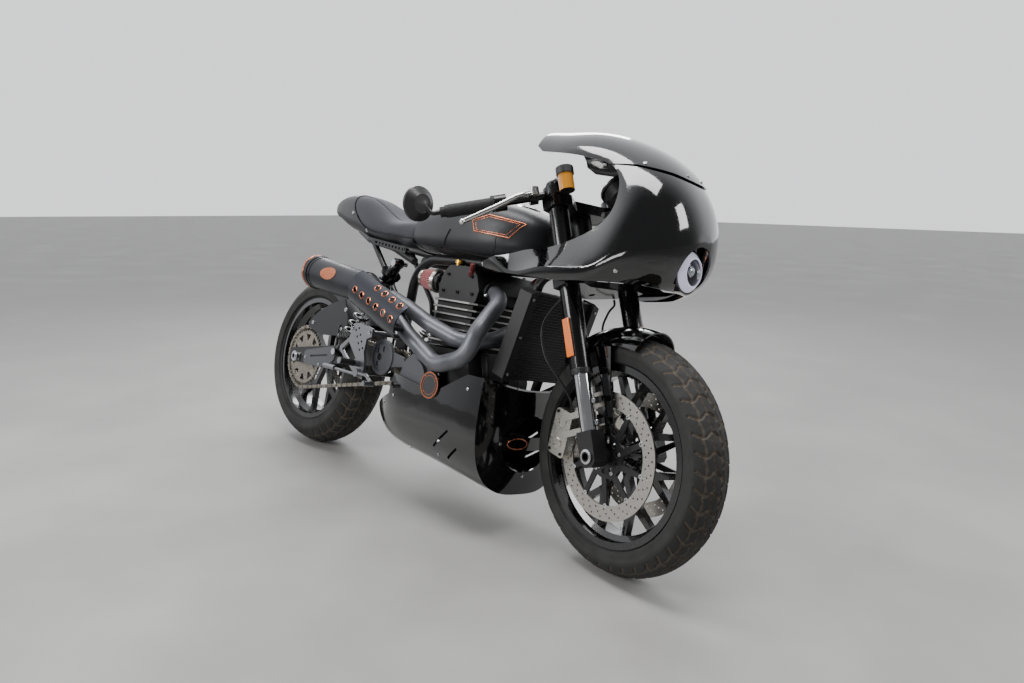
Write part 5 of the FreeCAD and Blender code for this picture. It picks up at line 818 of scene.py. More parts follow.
# white print: the hour-like marks and the needle
dial_white = new_finish("white_print", "#E8E6E0", 0.4)
dressed("instruments", powder_coat)
GAUGE = Vector((536, 0, 976))
gauge_way = Vector((-0.75, 0, 0.66)).normalized()
gauge_place = CHASSIS @ standing(GAUGE + gauge_way * 5, gauge_way)
settle(shown("dial_face", turned("dial", [(0, 0.6), (43, 0.6), (44, -1), (0, -1)], gauge_place, 48)), "chassis",
       dial_black, "lamp_glass")
marks = [sheet_cut("mark", [[(-0.7, 33), (0.7, 33), (0.7, 40), (-0.7, 40)]], 0.4,
                   gauge_place @ Matrix.Rotation(math.radians(turn), 4, "Z") @ Matrix.Translation((0, 0, 0.9)))
         for turn in range(-130, 131, 20)]
needle_place = gauge_place @ Matrix.Rotation(math.radians(96), 4, "Z") @ Matrix.Translation((0, 0, 1.2))
marks.append(sheet_cut("needle", [[(-1.4, -8), (1.4, -8), (0.5, 34), (-0.5, 34)]], 0.5, needle_place))
settle(shown("dial_marks", joined_up("dial_marks", *marks)), "chassis", dial_white, "lamp_glass")
settle(shown("dial_ring", turned("dial_ring", [(43, 0.4), (50.3, 0.4), (50.3, 3.2), (46, 4.2), (43, 2.4),
                                               (43, 0.4)], gauge_place, 56)), "chassis", polished, "lever_metal")

# Fairing and screen: one full shell of glass fibre in gloss black lacquer, with a dark screen lapped
# over it and held by small bright screws.
dressed("fairing", lacquer, limit=22)
dressed("windscreen", lacquer, limit=22)
screen_screws = both_flanks("windscreen", CHASSIS, [(420, 1030), (560, 1020), (690, 1014), (762, 1004)])
set_out("screen_screws", screw_head(5, 2.2), screen_screws, CHASSIS, "chassis", zinc_plate, "chain_steel")
set_out("wing_screws", screw_head(5, 2.2), both_flanks("fairing", CHASSIS, [(272, 722), (700, 742)]), CHASSIS,
        "chassis", zinc_plate, "chain_steel")

# Headlight: a black bowl and bezel, and within it a pale ring lamp round two projector lenses that
# sit side by side in bright rings.
# ring lamp: frosted white plastic with a lilac tint, faintly lit
ring_lamp = new_finish("frosted_ring_lamp", "#C9C8DE", 0.3, Emission_Strength=0.35, Coat_Weight=1.0,
                       Coat_Roughness=0.03)
ring_lamp.node_tree.nodes["Principled BSDF"].inputs["Emission Color"].default_value = linear("#DCDBF2")
# lamp body: dark chromed plastic
dark_chrome = speckle(new_finish("dark_chromed_plastic", "#3A3B42", 0.16, 1.0), 10, 0.1, 0.24)
# projector lens: clear glass over a bright mirror
clear_lens = new_finish("projector_lens", "#9FA6AE", 0.04, Coat_Weight=1.0, Coat_Roughness=0.01, Metallic=0.55)
LAMP = CHASSIS @ standing((792, 0, 775), (1, 0, 0))
dressed("headlight", dark_chrome, second=lacquer, place=CHASSIS,
        where=lambda spot: spot.x < 792.5 and math.hypot(spot.y, spot.z - 775) > 50.5)
settle(shown("ring_lamp", turned("ring_lamp", [(33, 11), (33, 15.5), (36, 15.2), (46, 6.6), (49.8, 1.4),
                                               (49.8, -3), (33, 11)], LAMP, 64)),
       "chassis", ring_lamp, "lamp_glass")
lenses = []
bezels = []
LENS_OFFSET = 14
for across in (-LENS_OFFSET, LENS_OFFSET):
    spot = LAMP @ Matrix.Translation((0, across, 0))
    lenses.append(turned("lens", [(11, 15.4), (10, 18.6), (6, 20.9), (0, 21.6)], spot, 28))
    bezels.append(turned("bezel", [(11, 13), (11, 17.4), (12.6, 17.8), (13.6, 16.6), (13.6, 13), (11, 13)],
                         spot, 28))
settle(shown("projector_lenses", joined_up("projector_lenses", *lenses)), "chassis", clear_lens, "lamp_glass")
settle(shown("projector_rings", joined_up("projector_rings", *bezels)), "chassis", zinc_plate, "lever_metal")

# Tank: pressed steel in satin black, with a folded slot down each side, a copper-edged badge left
# blank, a screwed filler cap and a lip below.
# satin lacquer: charcoal with a fine metallic grain
satin = speckle(new_finish("satin_charcoal_lacquer", "#1D1E22", 0.44), 1.5, 0.4, 0.5, 0.06)
dressed("fuel_tank", satin, limit=24)


def ribbon(name, node, corners, radius, side, cyclic=True, steps=8):
    """A round wire that lies on a chassis node's flank along (x, z) corners."""
    ends = corners + corners[:1] if cyclic else corners
    points = []
    for start, end in zip(ends, ends[1:]):
        for step in range(steps):
            part = step / steps
            x = start[0] + (end[0] - start[0]) * part
            z = start[1] + (end[1] - start[1]) * part
            hit = touch(node, CHASSIS, (x, side * 600, z), (0, -side, 0))
            if hit:
                points.append(hit[0])
    return wire(name, points, radius, CHASSIS, cyclic, 2)


def wire(name, points, radius, place, cyclic=False, order=3, sides=4):
    """A round wire along points of a frame, as a mesh."""
    drawn = bpy.data.curves.new(name, "CURVE")
    drawn.dimensions = "3D"
    drawn.bevel_depth = radius
    drawn.bevel_resolution = sides
    drawn.resolution_u = 6
    drawn.use_fill_caps = not cyclic
    line = drawn.splines.new("NURBS")
    line.points.add(len(points) - 1)
    for point, spot in zip(line.points, points):
        point.co = (spot[0], spot[1], spot[2], 1)
    line.use_cyclic_u = cyclic
    line.use_endpoint_u = not cyclic
    line.order_u = order
    holder = bpy.data.objects.new(name, drawn)
    bpy.context.scene.collection.objects.link(holder)
    bpy.context.view_layer.update()
    mesh = bpy.data.meshes.new_from_object(holder.evaluated_get(bpy.context.evaluated_depsgraph_get()))
    bpy.data.objects.remove(holder)
    mesh.transform(place)
    crease(mesh, 50)
    return mesh


# the badge's corners on the flank, as (x, z)
BADGE = [(159, 849), (174, 818), (292, 808), (326, 853), (217, 868)]
badge_edges = [ribbon("badge_edge", "fuel_tank", BADGE, 1.9, side) for side in (-1, 1)]
middle_x = sum(x for x, z in BADGE) / len(BADGE)
middle_z = sum(z for x, z in BADGE) / len(BADGE)
inner_badge = [(middle_x + (x - middle_x) * 0.86, middle_z + (z - middle_z) * 0.78) for x, z in BADGE]
badge_edges += [ribbon("badge_line", "fuel_tank", inner_badge, 0.9, side) for side in (-1, 1)]
settle(shown("tank_badges", joined_up("tank_badges", *badge_edges)), "chassis", copper_plate, "lever_metal")
# the slot, fold and lip are strips of painted shade laid on the flank, with a thin seam line
shade_and_seam_lines = []
for side in (-1, 1):
    shade_and_seam_lines.append(ribbon("slot", "fuel_tank", [(65, 820), (33, 766)], 2.6, side, False))
    shade_and_seam_lines.append(ribbon("fold", "fuel_tank", [(40, 763), (200, 752), (228, 753)], 3.4, side, False))
    shade_and_seam_lines.append(ribbon("lip", "fuel_tank", [(-60, 776), (26, 765)], 3.4, side, False))
    shade_and_seam_lines.append(ribbon("seam", "fuel_tank", [(255, 812), (255, 779), (234, 754)], 0.9, side, False))
# painted shade: near-black strips that stand for the shadow in the tank's slot, fold and lip, with a thin dark
# seam line; the guard's upper holes get the same painted shade
painted_slot_shade = new_finish("painted_shade_in_slots", "#020202", 0.9)
settle(shown("tank_slots", joined_up("tank_slots", *shade_and_seam_lines)), "chassis", painted_slot_shade, "satin_black_tank")
cap_hit = touch("fuel_tank", CHASSIS, (210, 0, 1100), (0, 0, -1))
cap_place = CHASSIS @ standing(cap_hit[0], cap_hit[1])
settle(shown("filler_cap", turned("filler_cap", [(0, 8), (14, 8), (15, 7), (27, 7), (29, 5.6), (40, 4.6),
                                                  (42, 3), (42, -6), (0, -6)], cap_place, 64)),
       "chassis", polished, "lever_metal")
filler_screws = [((x, y, 4.9), (0, 0, 1)) for x, y in ring_of(35, 6)]
set_out("filler_screws", screw_head(2.8, 1.6), filler_screws, cap_place, "chassis", black_oxide, "chain_steel")

# Seat: a foam pad in dark suede, crowned and rising to a hump, with two sewn channels along it and a
# turned-in edge where it drops into the cowl.
# suede: a short nap, soft at grazing angles and slightly mottled
suede = speckle(new_finish("grey_suede", "#26272B", 0.92, Sheen_Weight=0.55, Sheen_Roughness=0.45), 3.2,
                0.86, 0.97, 0.35, "#1F2024", "#303136", 5.0)
suede.node_tree.nodes["Principled BSDF"].inputs["Sheen Tint"].default_value = linear("#8A8C96")
pad_mesh = frame["nodes"]["seat"].data.copy()
pad_made = bmesh.new()
pad_made.from_mesh(pad_mesh)
bmesh.ops.remove_doubles(pad_made, verts=pad_made.verts, dist=0.00001)
pad_made.to_mesh(pad_mesh)
pad_made.free()
pad = shown("seat_pad", pad_mesh)
remesh = pad.modifiers.new("skin", "REMESH")
remesh.mode = "VOXEL"
remesh.voxel_size = 0.004
soften = pad.modifiers.new("soften", "SMOOTH")
soften.factor = 0.6
soften.iterations = 5
bpy.context.view_layer.update()
swollen = bpy.data.meshes.new_from_object(pad.evaluated_get(bpy.context.evaluated_depsgraph_get()))
bpy.data.objects.remove(pad)
pad = shown("seat_pad", swollen)
back = CHASSIS.inverted()
turn_back = back.to_3x3()
CHANNELS = (-46.0, 46.0)
CHANNEL_DEPTH, CHANNEL_HALF, PAD_FRONT = 3.4, 4.5, -196
for vertex in swollen.vertices:
    spot = back @ vertex.co
    out = (turn_back @ vertex.normal).normalized()
    if out.z > 0.2:
        sink = 0.0
        for channel in CHANNELS:
            off = abs(spot.y - channel)
            sink = max(sink, CHANNEL_DEPTH * math.exp(-(off / CHANNEL_HALF) ** 2))
        crown = 1.2 * math.cos(min(1.0, abs(spot.y) / 110) * math.pi / 2)
        if spot.x < PAD_FRONT:
            vertex.co += CHASSIS.to_3x3() @ (out * (crown - sink))
for face in swollen.polygons:
    face.use_smooth = True
settle(pad, "chassis", suede, "seat_suede", "seat")
pad_skin = BVHTree.FromPolygons([vertex.co for vertex in swollen.vertices],
                                [tuple(face.vertices) for face in swollen.polygons])
STITCH_START, STITCH_END, STITCH_PITCH = -205.0, -560, 6.5
stitches = []
for channel in CHANNELS:
    for side in (-5.5, 5.5):
        x = STITCH_START
        while x > STITCH_END:
            hit = pad_skin.ray_cast(CHASSIS @ Vector((x, channel + side, 1100)),
                                    (CHASSIS.to_3x3() @ Vector((0, 0, -1))).normalized())
            if hit[0] is not None:
                out = (turn_back @ hit[1]).normalized()
                stitches.append((back @ hit[0] + out * 0.3, out, Vector((1, 0, 0)) - out * out.x))
            x -= STITCH_PITCH
# waxed thread: pale grey, drawn 1.3 mm thick so that it shows
thread = new_finish("waxed_thread", "#6E6F76", 0.6)
stitch = bpy.data.meshes.new("stitch")
stitch_made = bmesh.new()
bmesh.ops.create_uvsphere(stitch_made, u_segments=8, v_segments=5, radius=0.5)
stitch_made.transform(Matrix.Diagonal((0.0044, 0.0013, 0.0012, 1)))
stitch_made.to_mesh(stitch)
stitch_made.free()
set_out("seat_stitches", stitch, stitches, CHASSIS, "chassis", thread, "seat_suede")

# Tail: a thin shell in the tank's satin charcoal, with a narrow red lamp at its point, press studs
# that hold the pad, and a perforated trim rail below.
dressed("tail_cowl", satin, limit=26)
studs = both_flanks("tail_cowl", CHASSIS, [(-565, 868), (-450, 806)])
set_out("cowl_studs", turned("stud", [(0, 2.6), (4, 2.4), (6.4, 1.2), (7, -1), (0, -1)], MM, 18), studs, CHASSIS,
        "chassis", zinc_plate, "chain_steel")
# tail lamp: deep red acrylic
red_lens = new_finish("red_acrylic", "#5A0508", 0.12, Coat_Weight=1.0, Emission_Strength=0.15)
red_lens.node_tree.nodes["Principled BSDF"].inputs["Emission Color"].default_value = linear("#A00810")
tail_hit = touch("tail_cowl", CHASSIS, (-1000, 0, 896), (1, 0, 0))
if tail_hit:
    lamp_place = CHASSIS @ standing(tail_hit[0] + Vector((-0.4, 0, 0)), (-1, 0, 0))
    lamp_mesh = turned("tail_lamp", [(0, 3.2), (9, 2.6), (13, 0.6), (13, -6), (0, -6)], Matrix.Identity(4), 36)
    lamp_mesh.transform(lamp_place @ Matrix.Diagonal((0.7, 1.0, 0.5, 1)))
    settle(shown("tail_lamp", lamp_mesh), "chassis", red_lens, "lamp_glass")
trims = []
for side in (-1, 1):
    level = CHASSIS @ Matrix.Translation((0, side * 101, 0)) @ FACING_SIDE
    strip = [(-205, 762), (-400, 782), (-404, 768), (-396, 762), (-205, 740)]
    holes = [hole_at(-222 - step * 19, 752.5 + step * 2.0, 4.6, 12) for step in range(9)]
    trims.append(sheet_cut("trim_rail", [strip] + holes, 2.4, level))
    for x in (-215, -385):
        trims.append(turned("trim_post", [(0, 0), (4, 0), (4, 20), (0, 20)],
                            CHASSIS @ standing((x, side * 84, 755 + (-215 - x) * 0.09), (0, side, 0)), 12))
settle(shown("trim_rails", joined_up("trim_rails", *trims)), "chassis", powder_coat, "satin_black_metal")

# Engine: black painted castings, the barrels' fins with bright machined edges, a plain grey clutch
# cover in a black ring of screws, and a grey sprocket cover with three vents.
# engine paint: textured half-matt black
engine_paint = speckle(new_finish("wrinkle_black_engine_paint", "#121213", 0.52), 1.2, 0.44, 0.62, 0.5)
# machined edges: bare aluminium with fine tool marks
machined = speckle(new_finish("machined_aluminium", "#BDBCB8", 0.3, 1.0), 2, 0.24, 0.42)
# cover paint: mid grey, satin, over a smooth casting
cover_grey = speckle(new_finish("grey_cover_paint", "#55575B", 0.4, 0.35), 3, 0.34, 0.48, 0.1)
dressed("crankcase", engine_paint, edge=4.0)
dressed("cylinder_block", engine_paint, edge=0.8)
dressed("cylinder_head", engine_paint, edge=1.5)
FIN_HALF_X, FIN_HALF_Y, FIN_CORNER, FIN_PITCH = 95.35, 145.35, 18.0, 20
outline = [(-FIN_HALF_X, -FIN_HALF_Y + FIN_CORNER), (-FIN_HALF_X + FIN_CORNER, -FIN_HALF_Y),
           (FIN_HALF_X - FIN_CORNER, -FIN_HALF_Y), (FIN_HALF_X, -FIN_HALF_Y + FIN_CORNER),
           (FIN_HALF_X, FIN_HALF_Y - FIN_CORNER), (FIN_HALF_X - FIN_CORNER, FIN_HALF_Y),
           (-FIN_HALF_X + FIN_CORNER, FIN_HALF_Y), (-FIN_HALF_X, FIN_HALF_Y - FIN_CORNER)]
inner = [(x * 0.985, y * 0.985) for x, y in outline]
fins = [sheet_cut("fin_edge", [outline, inner], 4.4,
                  CHASSIS @ Matrix.Translation((112, 0, 488 + index * FIN_PITCH + 3.5))) for index in range(7)]
settle(shown("fin_edges", joined_up("fin_edges", *fins)), "chassis", machined, "grey_cover")
# the middles of the clutch cover on the right and the dynamo cover on the left
CLUTCH_X, CLUTCH_Z, DYNAMO_X, DYNAMO_Z = 44, 366, 74, 360
dressed("engine_covers", lacquer, second=cover_grey, place=CHASSIS,
        where=lambda spot: abs(spot.y) > 152.5 and math.hypot(
            spot.x - (CLUTCH_X if spot.y < 0 else DYNAMO_X),
            spot.z - (CLUTCH_Z if spot.y < 0 else DYNAMO_Z)) < 75)
cover_screws = [((CLUTCH_X + 81 * math.cos(turn), -151.6, CLUTCH_Z + 81 * math.sin(turn)), (0, -1, 0))
                for turn in (0.3 + step * math.tau / 11 for step in range(11))]
cover_screws += [((DYNAMO_X + 63 * math.cos(turn), 146.4, DYNAMO_Z + 63 * math.sin(turn)), (0, 1, 0))
                 for turn in (0.2 + step * math.tau / 8 for step in range(8))]
set_out("cover_screws", screw_head(5, 4.2), cover_screws, CHASSIS, "chassis", zinc_plate, "chain_steel")
dressed("sprocket_cover", cover_grey, edge=1.2)
head_screws = [touch("cylinder_head", CHASSIS, (x, y, 900), (0, 0, -1))
               for x in (80, 112, 144) for y in (-110, -40, 40, 110)]
head_screws += both_flanks("cylinder_head", CHASSIS, [(60, 690), (164, 690), (112, 640), (48, 640), (176, 640)])
set_out("head_screws", screw_head(5.5, 4.5), [hit for hit in head_screws if hit], CHASSIS, "chassis",
        black_oxide, "chain_steel")
# plug cap: dark red rubber boot on the head's right side, and a brass-coloured breather above it
red_boot = speckle(new_finish("red_silicone_boot", "#5E1216", 0.45), 4, 0.38, 0.52)
brass = speckle(new_finish("brass_fitting", "#C79A3E", 0.26, 1.0), 6, 0.2, 0.36)
settle(shown("plug_boots", joined_up("plug_boots", *[
    turned("boot", [(0, -6), (9, -6), (9, 22), (7.5, 24), (7.5, 44), (5, 48), (0, 48)],
           CHASSIS @ standing((150, side * 118, 690), (0.5, side * 0.5, 0.8)), 20) for side in (-1, 1)])),
    "chassis", red_boot, "rose_filter")
breather = touch("cylinder_head", CHASSIS, (66, -96, 900), (0, 0, -1))
settle(shown("breather_cap", turned("breather", [(0, 20), (13, 20), (15, 18), (15, 8), (12, 6), (12, -4),
                                                  (0, -4)], CHASSIS @ standing(breather[0], breather[1]), 28)),
       "chassis", brass, "lever_metal")

# Radiator: an aluminium core painted black, its fins folded between flat tubes 8 mm apart, with a
# cap and screws on the end tanks.
# core: fins every 3 mm drawn as dark and light bands across the flat tubes
core = new_finish("radiator_core", "#0B0B0C", 0.6)
core_tree = core.node_tree
core_place = add_node(core_tree, "ShaderNodeTexCoord")
core_bands = add_node(core_tree, "ShaderNodeTexWave", {"Vector": core_place.outputs["Object"], "Scale": 50.0},
                      wave_type="BANDS", bands_direction="Z")
core_relief = add_node(core_tree, "ShaderNodeBump", {"Height": core_bands.outputs["Fac"], "Strength": 0.8,
                                                     "Distance": 0.002})
core_tree.links.new(core_relief.outputs["Normal"], core_tree.nodes["Principled BSDF"].inputs["Normal"])
RADIATOR = (CHASSIS @ Matrix.Translation((330, 0, 431)) @ Matrix.Rotation(math.radians(13), 4, "Y")
            @ Matrix.Translation((-330, 0, -431)))
dressed("radiator", core, edge=1.5, second=black_casting, place=RADIATOR, where=lambda spot: abs(spot.y) > 124)
tubes = [((361.2, 0, 437 + step * 8.1), (1, 0, 0), (0, 1, 0)) for step in range(31)]
flat_tube = sheet_cut("flat_tube", [[(-122, -1), (122, -1), (122, 1), (-122, 1)]], 1.6, MM)
set_out("radiator_tubes", flat_tube, tubes, RADIATOR, "chassis", powder_coat, "radiator_metal")
set_out("radiator_screws", screw_head(4, 3), [((374.2, side * 134, height), (1, 0, 0)) for side in (-1, 1)
                                              for height in (450, 557, 664)], RADIATOR, "chassis", zinc_plate,
        "chain_steel")

# Belly pan: a keel of glass fibre in the fairing's lacquer, with a blank copper roundel on its
# plate, a blank oval badge on the bar and small screws.
dressed("belly_pan", lacquer, limit=26)
ROUNDEL_X, ROUNDEL_Z = 147, 362
roundel = CHASSIS @ standing((ROUNDEL_X, -202.4, ROUNDEL_Z), (0, -1, 0))
settle(shown("roundel_rings", joined_up("roundel_rings", *[
    turned("rim", [(34.5, 0), (38.6, 0), (38.6, 1.6), (34.5, 1.6), (34.5, 0)], roundel, 56),
    turned("line", [(26.5, 0), (28.0, 0), (28.0, 1.3), (26.5, 1.3), (26.5, 0)], roundel, 48)])), "chassis",
    copper_plate, "lever_metal")
set_out("roundel_rivets", turned("rivet", [(0, 1.4), (1.8, 1.0), (2.4, 0), (2.4, -1), (0, -1)], MM, 12),
        [((ROUNDEL_X + 31 * math.cos(turn), -202.6, ROUNDEL_Z + 31 * math.sin(turn)), (0, -1, 0))
         for turn in (step * math.tau / 4 + 0.785 for step in range(4))], CHASSIS, "chassis", copper_plate,
        "lever_metal")
oval_points = [(38 * math.cos(turn), 245 + 15 * math.sin(turn))
               for turn in (step * math.tau / 40 for step in range(40))]
oval_hits = [touch("belly_pan", CHASSIS, (600, y - 40, z), (-1, 0, 0)) for y, z in oval_points]
settle(shown("oval_badge", wire("oval_badge", [hit[0] for hit in oval_hits if hit], 1.6, CHASSIS, True)),
       "chassis", copper_plate, "lever_metal")
pan_screws = both_flanks("belly_pan", CHASSIS, [(300, 380), (-20, 300), (-80, 268), (190, 170), (20, 150)])
pan_screws += [touch("belly_pan", CHASSIS, (600, y, z), (-1, 0, 0))
               for y, z in ((-104, 245), (104, 245), (-70, 400), (70, 400), (0, 152))]
set_out("pan_screws", screw_head(4.5, 2), [hit for hit in pan_screws if hit], CHASSIS, "chassis", zinc_plate,
        "chain_steel")

# Exhaust: stainless headers and muffler in a dark ceramic coating, port flanges on two nuts, a
# copper-rimmed end, a blank copper badge, and a guard with two rows of holes rimmed in copper.
# ceramic coating: satin mid grey, its tone varying at random over about 60 mm
ceramic = speckle(new_finish("grey_ceramic_coating", "#606267", 0.42, 0.6), 60, 0.38, 0.5, 0.0,
                  "#595B60", "#696B6F")
dark_ceramic = speckle(new_finish("dark_ceramic_coating", "#25272B", 0.4, 0.5), 80, 0.34, 0.46, 0.0,
                       "#222428", "#2B2D32")
# black nickel: a smooth, half-bright plate
guard_grey = speckle(new_finish("black_nickelled_guard", "#33353B", 0.3, 0.6), 2, 0.26, 0.34, 0.05)
dressed("header_pipes", ceramic)
dressed("muffler", dark_ceramic)
dressed("muffler_guard", guard_grey)
MUFFLER_WAY = Vector((-1, 0, 0.095)).normalized()
MUFFLER_FRONT = Vector((-128, -236, 598))
MUFFLER_BADGE_X, MUFFLER_BADGE_Z = -346, 631
muffler_place = CHASSIS @ standing(MUFFLER_FRONT, MUFFLER_WAY)
copper_ends = [turned("end_rim", [(47.5, 372.4), (57.4, 372.4), (58.2, 371), (58.2, 363), (57.3, 362),
                                  (57.3, 370), (47.5, 370), (47.5, 372.4)], muffler_place, 64)]
GUARD_START, GUARD_END = Vector((70, -236, 520)), Vector((-190, -236, 606))
guard_way = (GUARD_END - GUARD_START).normalized()
eyelets = []
for index in range(6):
    at = GUARD_START + guard_way * (26 + index * 42)
    eyelets.append(((at.x, -302.0, at.z), (0, -1, 0)))
eyelet = turned("eyelet", [(8.6, 0.9), (9.6, 1.5), (11.4, 0.9), (11.9, -1), (8.6, -1), (8.6, 0.9)], MM, 24)
upper_row = [touch("muffler_guard", CHASSIS, (at[0] + 12, -600, at[2] + 42)) for at, way in eyelets[:4]]
upper_row = [hit for hit in upper_row if hit]
set_out("guard_eyelets", eyelet, eyelets + upper_row, CHASSIS, "chassis", copper_plate, "lever_metal")
# painted shade: dark discs inside the upper row of eyelets stand for the shadow in the guard's holes
set_out("guard_hollows", turned("hollow", [(0, 0.5), (8.8, 0.5), (8.8, -1), (0, -1)], MM, 20), upper_row,
        CHASSIS, "chassis", painted_slot_shade, "dark_exhaust")
badge = [touch("muffler", CHASSIS, (MUFFLER_BADGE_X + 42 * math.cos(turn), -600,
                                    MUFFLER_BADGE_Z + 20 * math.sin(turn)))
         for turn in (step * math.tau / 32 for step in range(32))]
badge_middle = touch("muffler", CHASSIS, (MUFFLER_BADGE_X, -600, MUFFLER_BADGE_Z))
plate = bmesh.new()
edge_up, edge_down = [[plate.verts.new(hit[0] + hit[1] * lift) for hit in badge if hit]
                      for lift in (1.2, -1.0)]
peak, root = [plate.verts.new(badge_middle[0] + badge_middle[1] * lift) for lift in (1.6, -1.0)]
for first in range(len(edge_up)):
    second = (first + 1) % len(edge_up)
    plate.faces.new((edge_up[first], edge_up[second], peak))
    plate.faces.new((edge_down[first], root, edge_down[second]))
    plate.faces.new((edge_up[first], edge_down[first], edge_down[second], edge_up[second]))
bmesh.ops.recalc_face_normals(plate, faces=plate.faces)
plate.transform(CHASSIS)
badge_mesh = bpy.data.meshes.new("muffler_badge")
plate.to_mesh(badge_mesh)
plate.free()
crease(badge_mesh, 30)
copper_ends.append(badge_mesh)
settle(shown("copper_trim", joined_up("copper_trim", *copper_ends)), "chassis", copper_plate, "lever_metal")
bands = [turned("band", [(radius, low), (radius + 1.8, low), (radius + 1.8, low + 12), (radius, low + 12),
                         (radius, low)], muffler_place, 48) for radius, low in ((50.3, 62), (53.2, 330))]
settle(shown("muffler_bands", joined_up("muffler_bands", *bands)), "chassis", black_oxide, "dark_exhaust")
flanges = []
for side in (-1, 1):
    flanges.append(turned("flange", [(24.3, 2), (33, 2), (33, 9), (24.3, 9), (24.3, 2)],
                          CHASSIS @ standing((202.6, side * 78, 650), (1, 0, 0)), 32))
settle(shown("port_flanges", joined_up("port_flanges", *flanges)), "chassis", black_casting, "dark_exhaust")
flange_nuts = [((211.5, side * 78 + out * 30, 650 + out * 8), (1, 0, 0)) for side in (-1, 1) for out in (-1, 1)]
set_out("flange_nuts", screw_head(5, 6), flange_nuts, CHASSIS, "chassis", zinc_plate, "chain_steel")

# Intakes: black throttle bodies, each with a clamped cone of rose cotton gauze, pleated every 7 mm
# between chromed end caps.
# oiled cotton gauze: dusty rose
gauze = speckle(new_finish("oiled_cotton_gauze", "#9A5F60", 0.8), 2.0, 0.74, 0.9, 0.5, "#86494B", "#AA7473")
dressed("throttle_bodies", black_casting, edge=0.6)
pleats, filter_caps = [], []
for side in (-1, 1):
    mouth = Vector((112 - 88.4, side * 74, 660))
    flange = mouth + Vector((-46, side * 8, 4))
    way = (flange - mouth).normalized()
    place = CHASSIS @ standing(flange + way * 6.3, way)
    made = bmesh.new()
    folds = 36
    rings = []
    for reach, height in ((37.0, 12), (28.0, 62)):
        ring = []
        for step in range(folds * 4):
            swing = (0.0, 0.7, 1.0, 0.7)[step % 4]
            angle = step * math.tau / (folds * 4)
            ring.append(made.verts.new(((reach - 3.4 + 3.4 * swing) * math.cos(angle),
                                        (reach - 3.4 + 3.4 * swing) * math.sin(angle), height)))
        rings.append(ring)
    for step in range(folds * 4):
        after = (step + 1) % (folds * 4)
        made.faces.new((rings[0][step], rings[0][after], rings[1][after], rings[1][step]))
    made.faces.new(rings[1])
    made.faces.new(rings[0][::-1])
    bmesh.ops.recalc_face_normals(made, faces=made.faces)
    made.transform(place)
    mesh = bpy.data.meshes.new("pleats")
    made.to_mesh(mesh)
    made.free()
    pleats.append(mesh)
    filter_caps.append(turned("base_cap", [(0, 0), (36, 0), (37.6, 2), (37.6, 13), (35, 14), (0, 14)],
                              place, 48))
    filter_caps.append(turned("end_cap", [(0, 60.5), (28, 60.5), (28.8, 62), (28, 69), (24, 70), (0, 70)],
                              place, 48))
settle(shown("pleated_filters", joined_up("pleated_filters", *pleats)), "chassis", gauze, "rose_filter",
       "air_filters")
settle(shown("filter_caps", joined_up("filter_caps", *filter_caps)), "chassis", nickel, "lever_metal")

# Swingarm: a welded box section in black, with a grey end plate that has one long slot, and the
# hollow axle in its adjuster blocks.
dressed("swingarm", black_casting, edge=2.5)
dressed("rear_axle", zinc_plate)
plates = []
for side in (-1, 1):
    level = CHASSIS @ Matrix.Translation((0, side * 138.6, 0)) @ FACING_SIDE
    outline = [(-652, 340), (-640, 349), (-470, 388), (-448, 380), (-456, 342), (-486, 318), (-548, 300),
               (-640, 300), (-652, 306)]
    slot = [(-610, 334), (-500, 354), (-498, 348), (-608, 328)]
    plates.append(sheet_cut("end_plate", [outline, slot], 3.0, level))
settle(shown("swingarm_plates", joined_up("swingarm_plates", *plates)), "chassis", cover_grey, "grey_cover")
set_out("plate_screws", screw_head(5, 3.4), [((x, side * 139.8, z), (0, side, 0)) for side in (-1, 1)
                                             for x, z in ((-640, 322), (-466, 372), (-545, 310))],
        CHASSIS, "chassis", zinc_plate, "chain_steel")

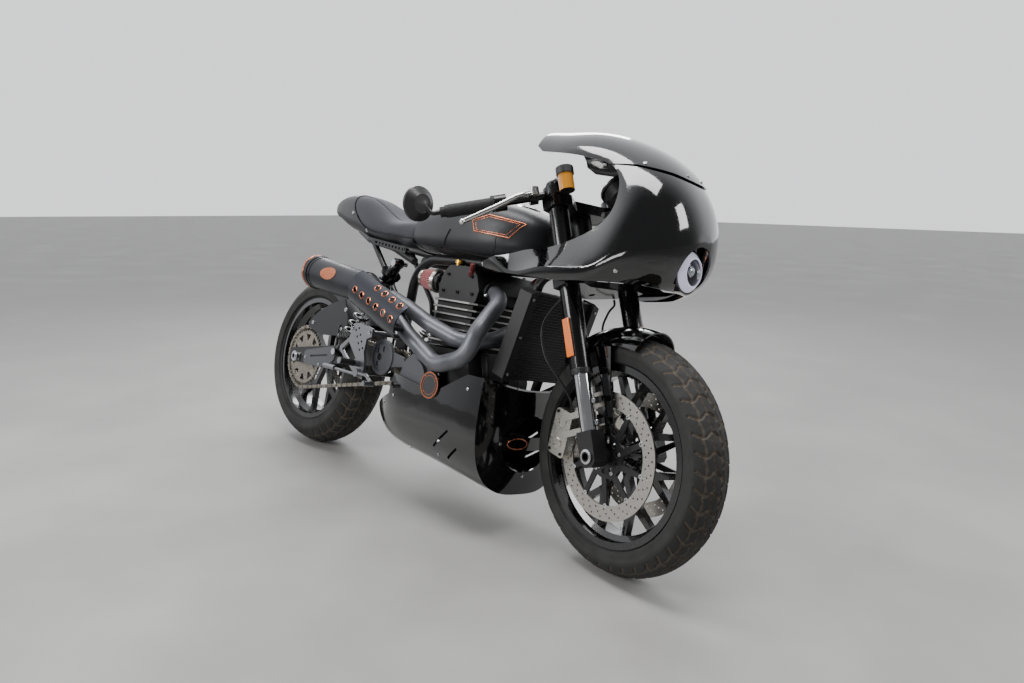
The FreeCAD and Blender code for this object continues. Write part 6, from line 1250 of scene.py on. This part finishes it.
# Rear shocks: a black coil of 9 mm spring wire round a chromed rod and a black damper, with ribbed
# collars and rubber-bushed eyes.
shock_parts, shock_rods, coils = [], [], []
for side in (-1, 1):
    top, foot = Vector((-165, side * 152, 700)), Vector((-420, side * 152, 374))
    way = (foot - top).normalized()
    length = (foot - top).length
    place = CHASSIS @ standing(top, way)
    shock_parts.append(turned("damper", [(0, 8), (16, 8), (18, 12), (18, 40), (34, 42), (34, 50), (21, 52),
                                         (21, 190), (0, 190)], place, 32))
    shock_parts.append(turned("collar", [(0, length - 74), (34, length - 74), (34, length - 66), (22, length - 62),
                                         (18, length - 40), (13, length - 36), (13, length - 4), (0, length - 4)],
                              place, 32))
    shock_rods.append(turned("rod", [(0, 190), (7, 190), (7, length - 70), (0, length - 70)], place, 20))
    for spot in (top, foot):
        shock_parts.append(turned("eye", [(0, -13), (15.5, -13), (16.5, -11), (16.5, 11), (15.5, 13), (0, 13)],
                                  CHASSIS @ standing(spot, (0, side, 0)), 28))
        shock_rods.append(turned("bolt", [(0, -34), (7, -34), (7, 15), (11, 15), (11, 20), (0, 20)],
                                 CHASSIS @ standing(spot, (0, side, 0)), 20))
    turns, first, last = 8.5, 54, length - 78
    helix = []
    for step in range(int(turns * 10) + 1):
        angle = step * math.tau / 10
        helix.append((25.4 * math.cos(angle), 25.4 * math.sin(angle),
                      first + (last - first) * step / (turns * 10)))
    coils.append(wire("coil", helix, 4.4, place, False, 4, 3))
settle(shown("shock_bodies", joined_up("shock_bodies", *shock_parts)), "chassis", black_anodise,
       SLOT_OF["rear_shocks"], "rear_shocks")
settle(shown("shock_rods", joined_up("shock_rods", *shock_rods)), "chassis", zinc_plate, "chain_steel")
settle(shown("shock_coils", joined_up("shock_coils", *coils)), "chassis", wheel_paint, "satin_black_metal")

# Rear hugger, brake and footrests: moulded guard in satin black, a nickel calliper on its bracket,
# and machined brackets with knurled pegs and their levers in bright aluminium.
dressed("rear_hugger", satin, limit=28)
hugger_screws = [touch("rear_hugger", CHASSIS, (x, -600, z)) for x, z in ((-660, 450), (-462, 520), (-470, 450))]
set_out("hugger_screws", screw_head(7, 4), [hit for hit in hugger_screws if hit], CHASSIS, "chassis",
        zinc_plate, "chain_steel")
dressed("rear_calliper", nickel, edge=1.8)
# footrest aluminium: machined and blasted, a duller grey
blasted = speckle(new_finish("machined_footrest", "#8E8F92", 0.34, 1.0), 3, 0.28, 0.44)
dressed("footrests", blasted, edge=0.5)
knurls = []
for side in (-1, 1):
    outline = [(8, 24)]
    for step in range(12):
        outline += [(10.2, 24 + step * 4.6), (10.9, 25.6 + step * 4.6), (10.2, 27.4 + step * 4.6)]
    knurls.append(turned("knurl", outline + [(8, 79)],
                         CHASSIS @ standing((-222, side * 192, 362), (0, side * 80, 6)), 20))
settle(shown("peg_sleeves", joined_up("peg_sleeves", *knurls)), "chassis", grip_rubber, "grip_rubber")
set_out("footrest_screws", screw_head(6, 4), [((x, side * 196.2, z), (0, side, 0)) for side in (-1, 1)
                                              for x, z in ((-192, 468), (-205, 337), (-290, 470))],
        CHASSIS, "chassis", zinc_plate, "chain_steel")

# Side stand: a forged leg in black on its bolt, with a flat foot on the floor.
dressed("side_stand", black_casting)
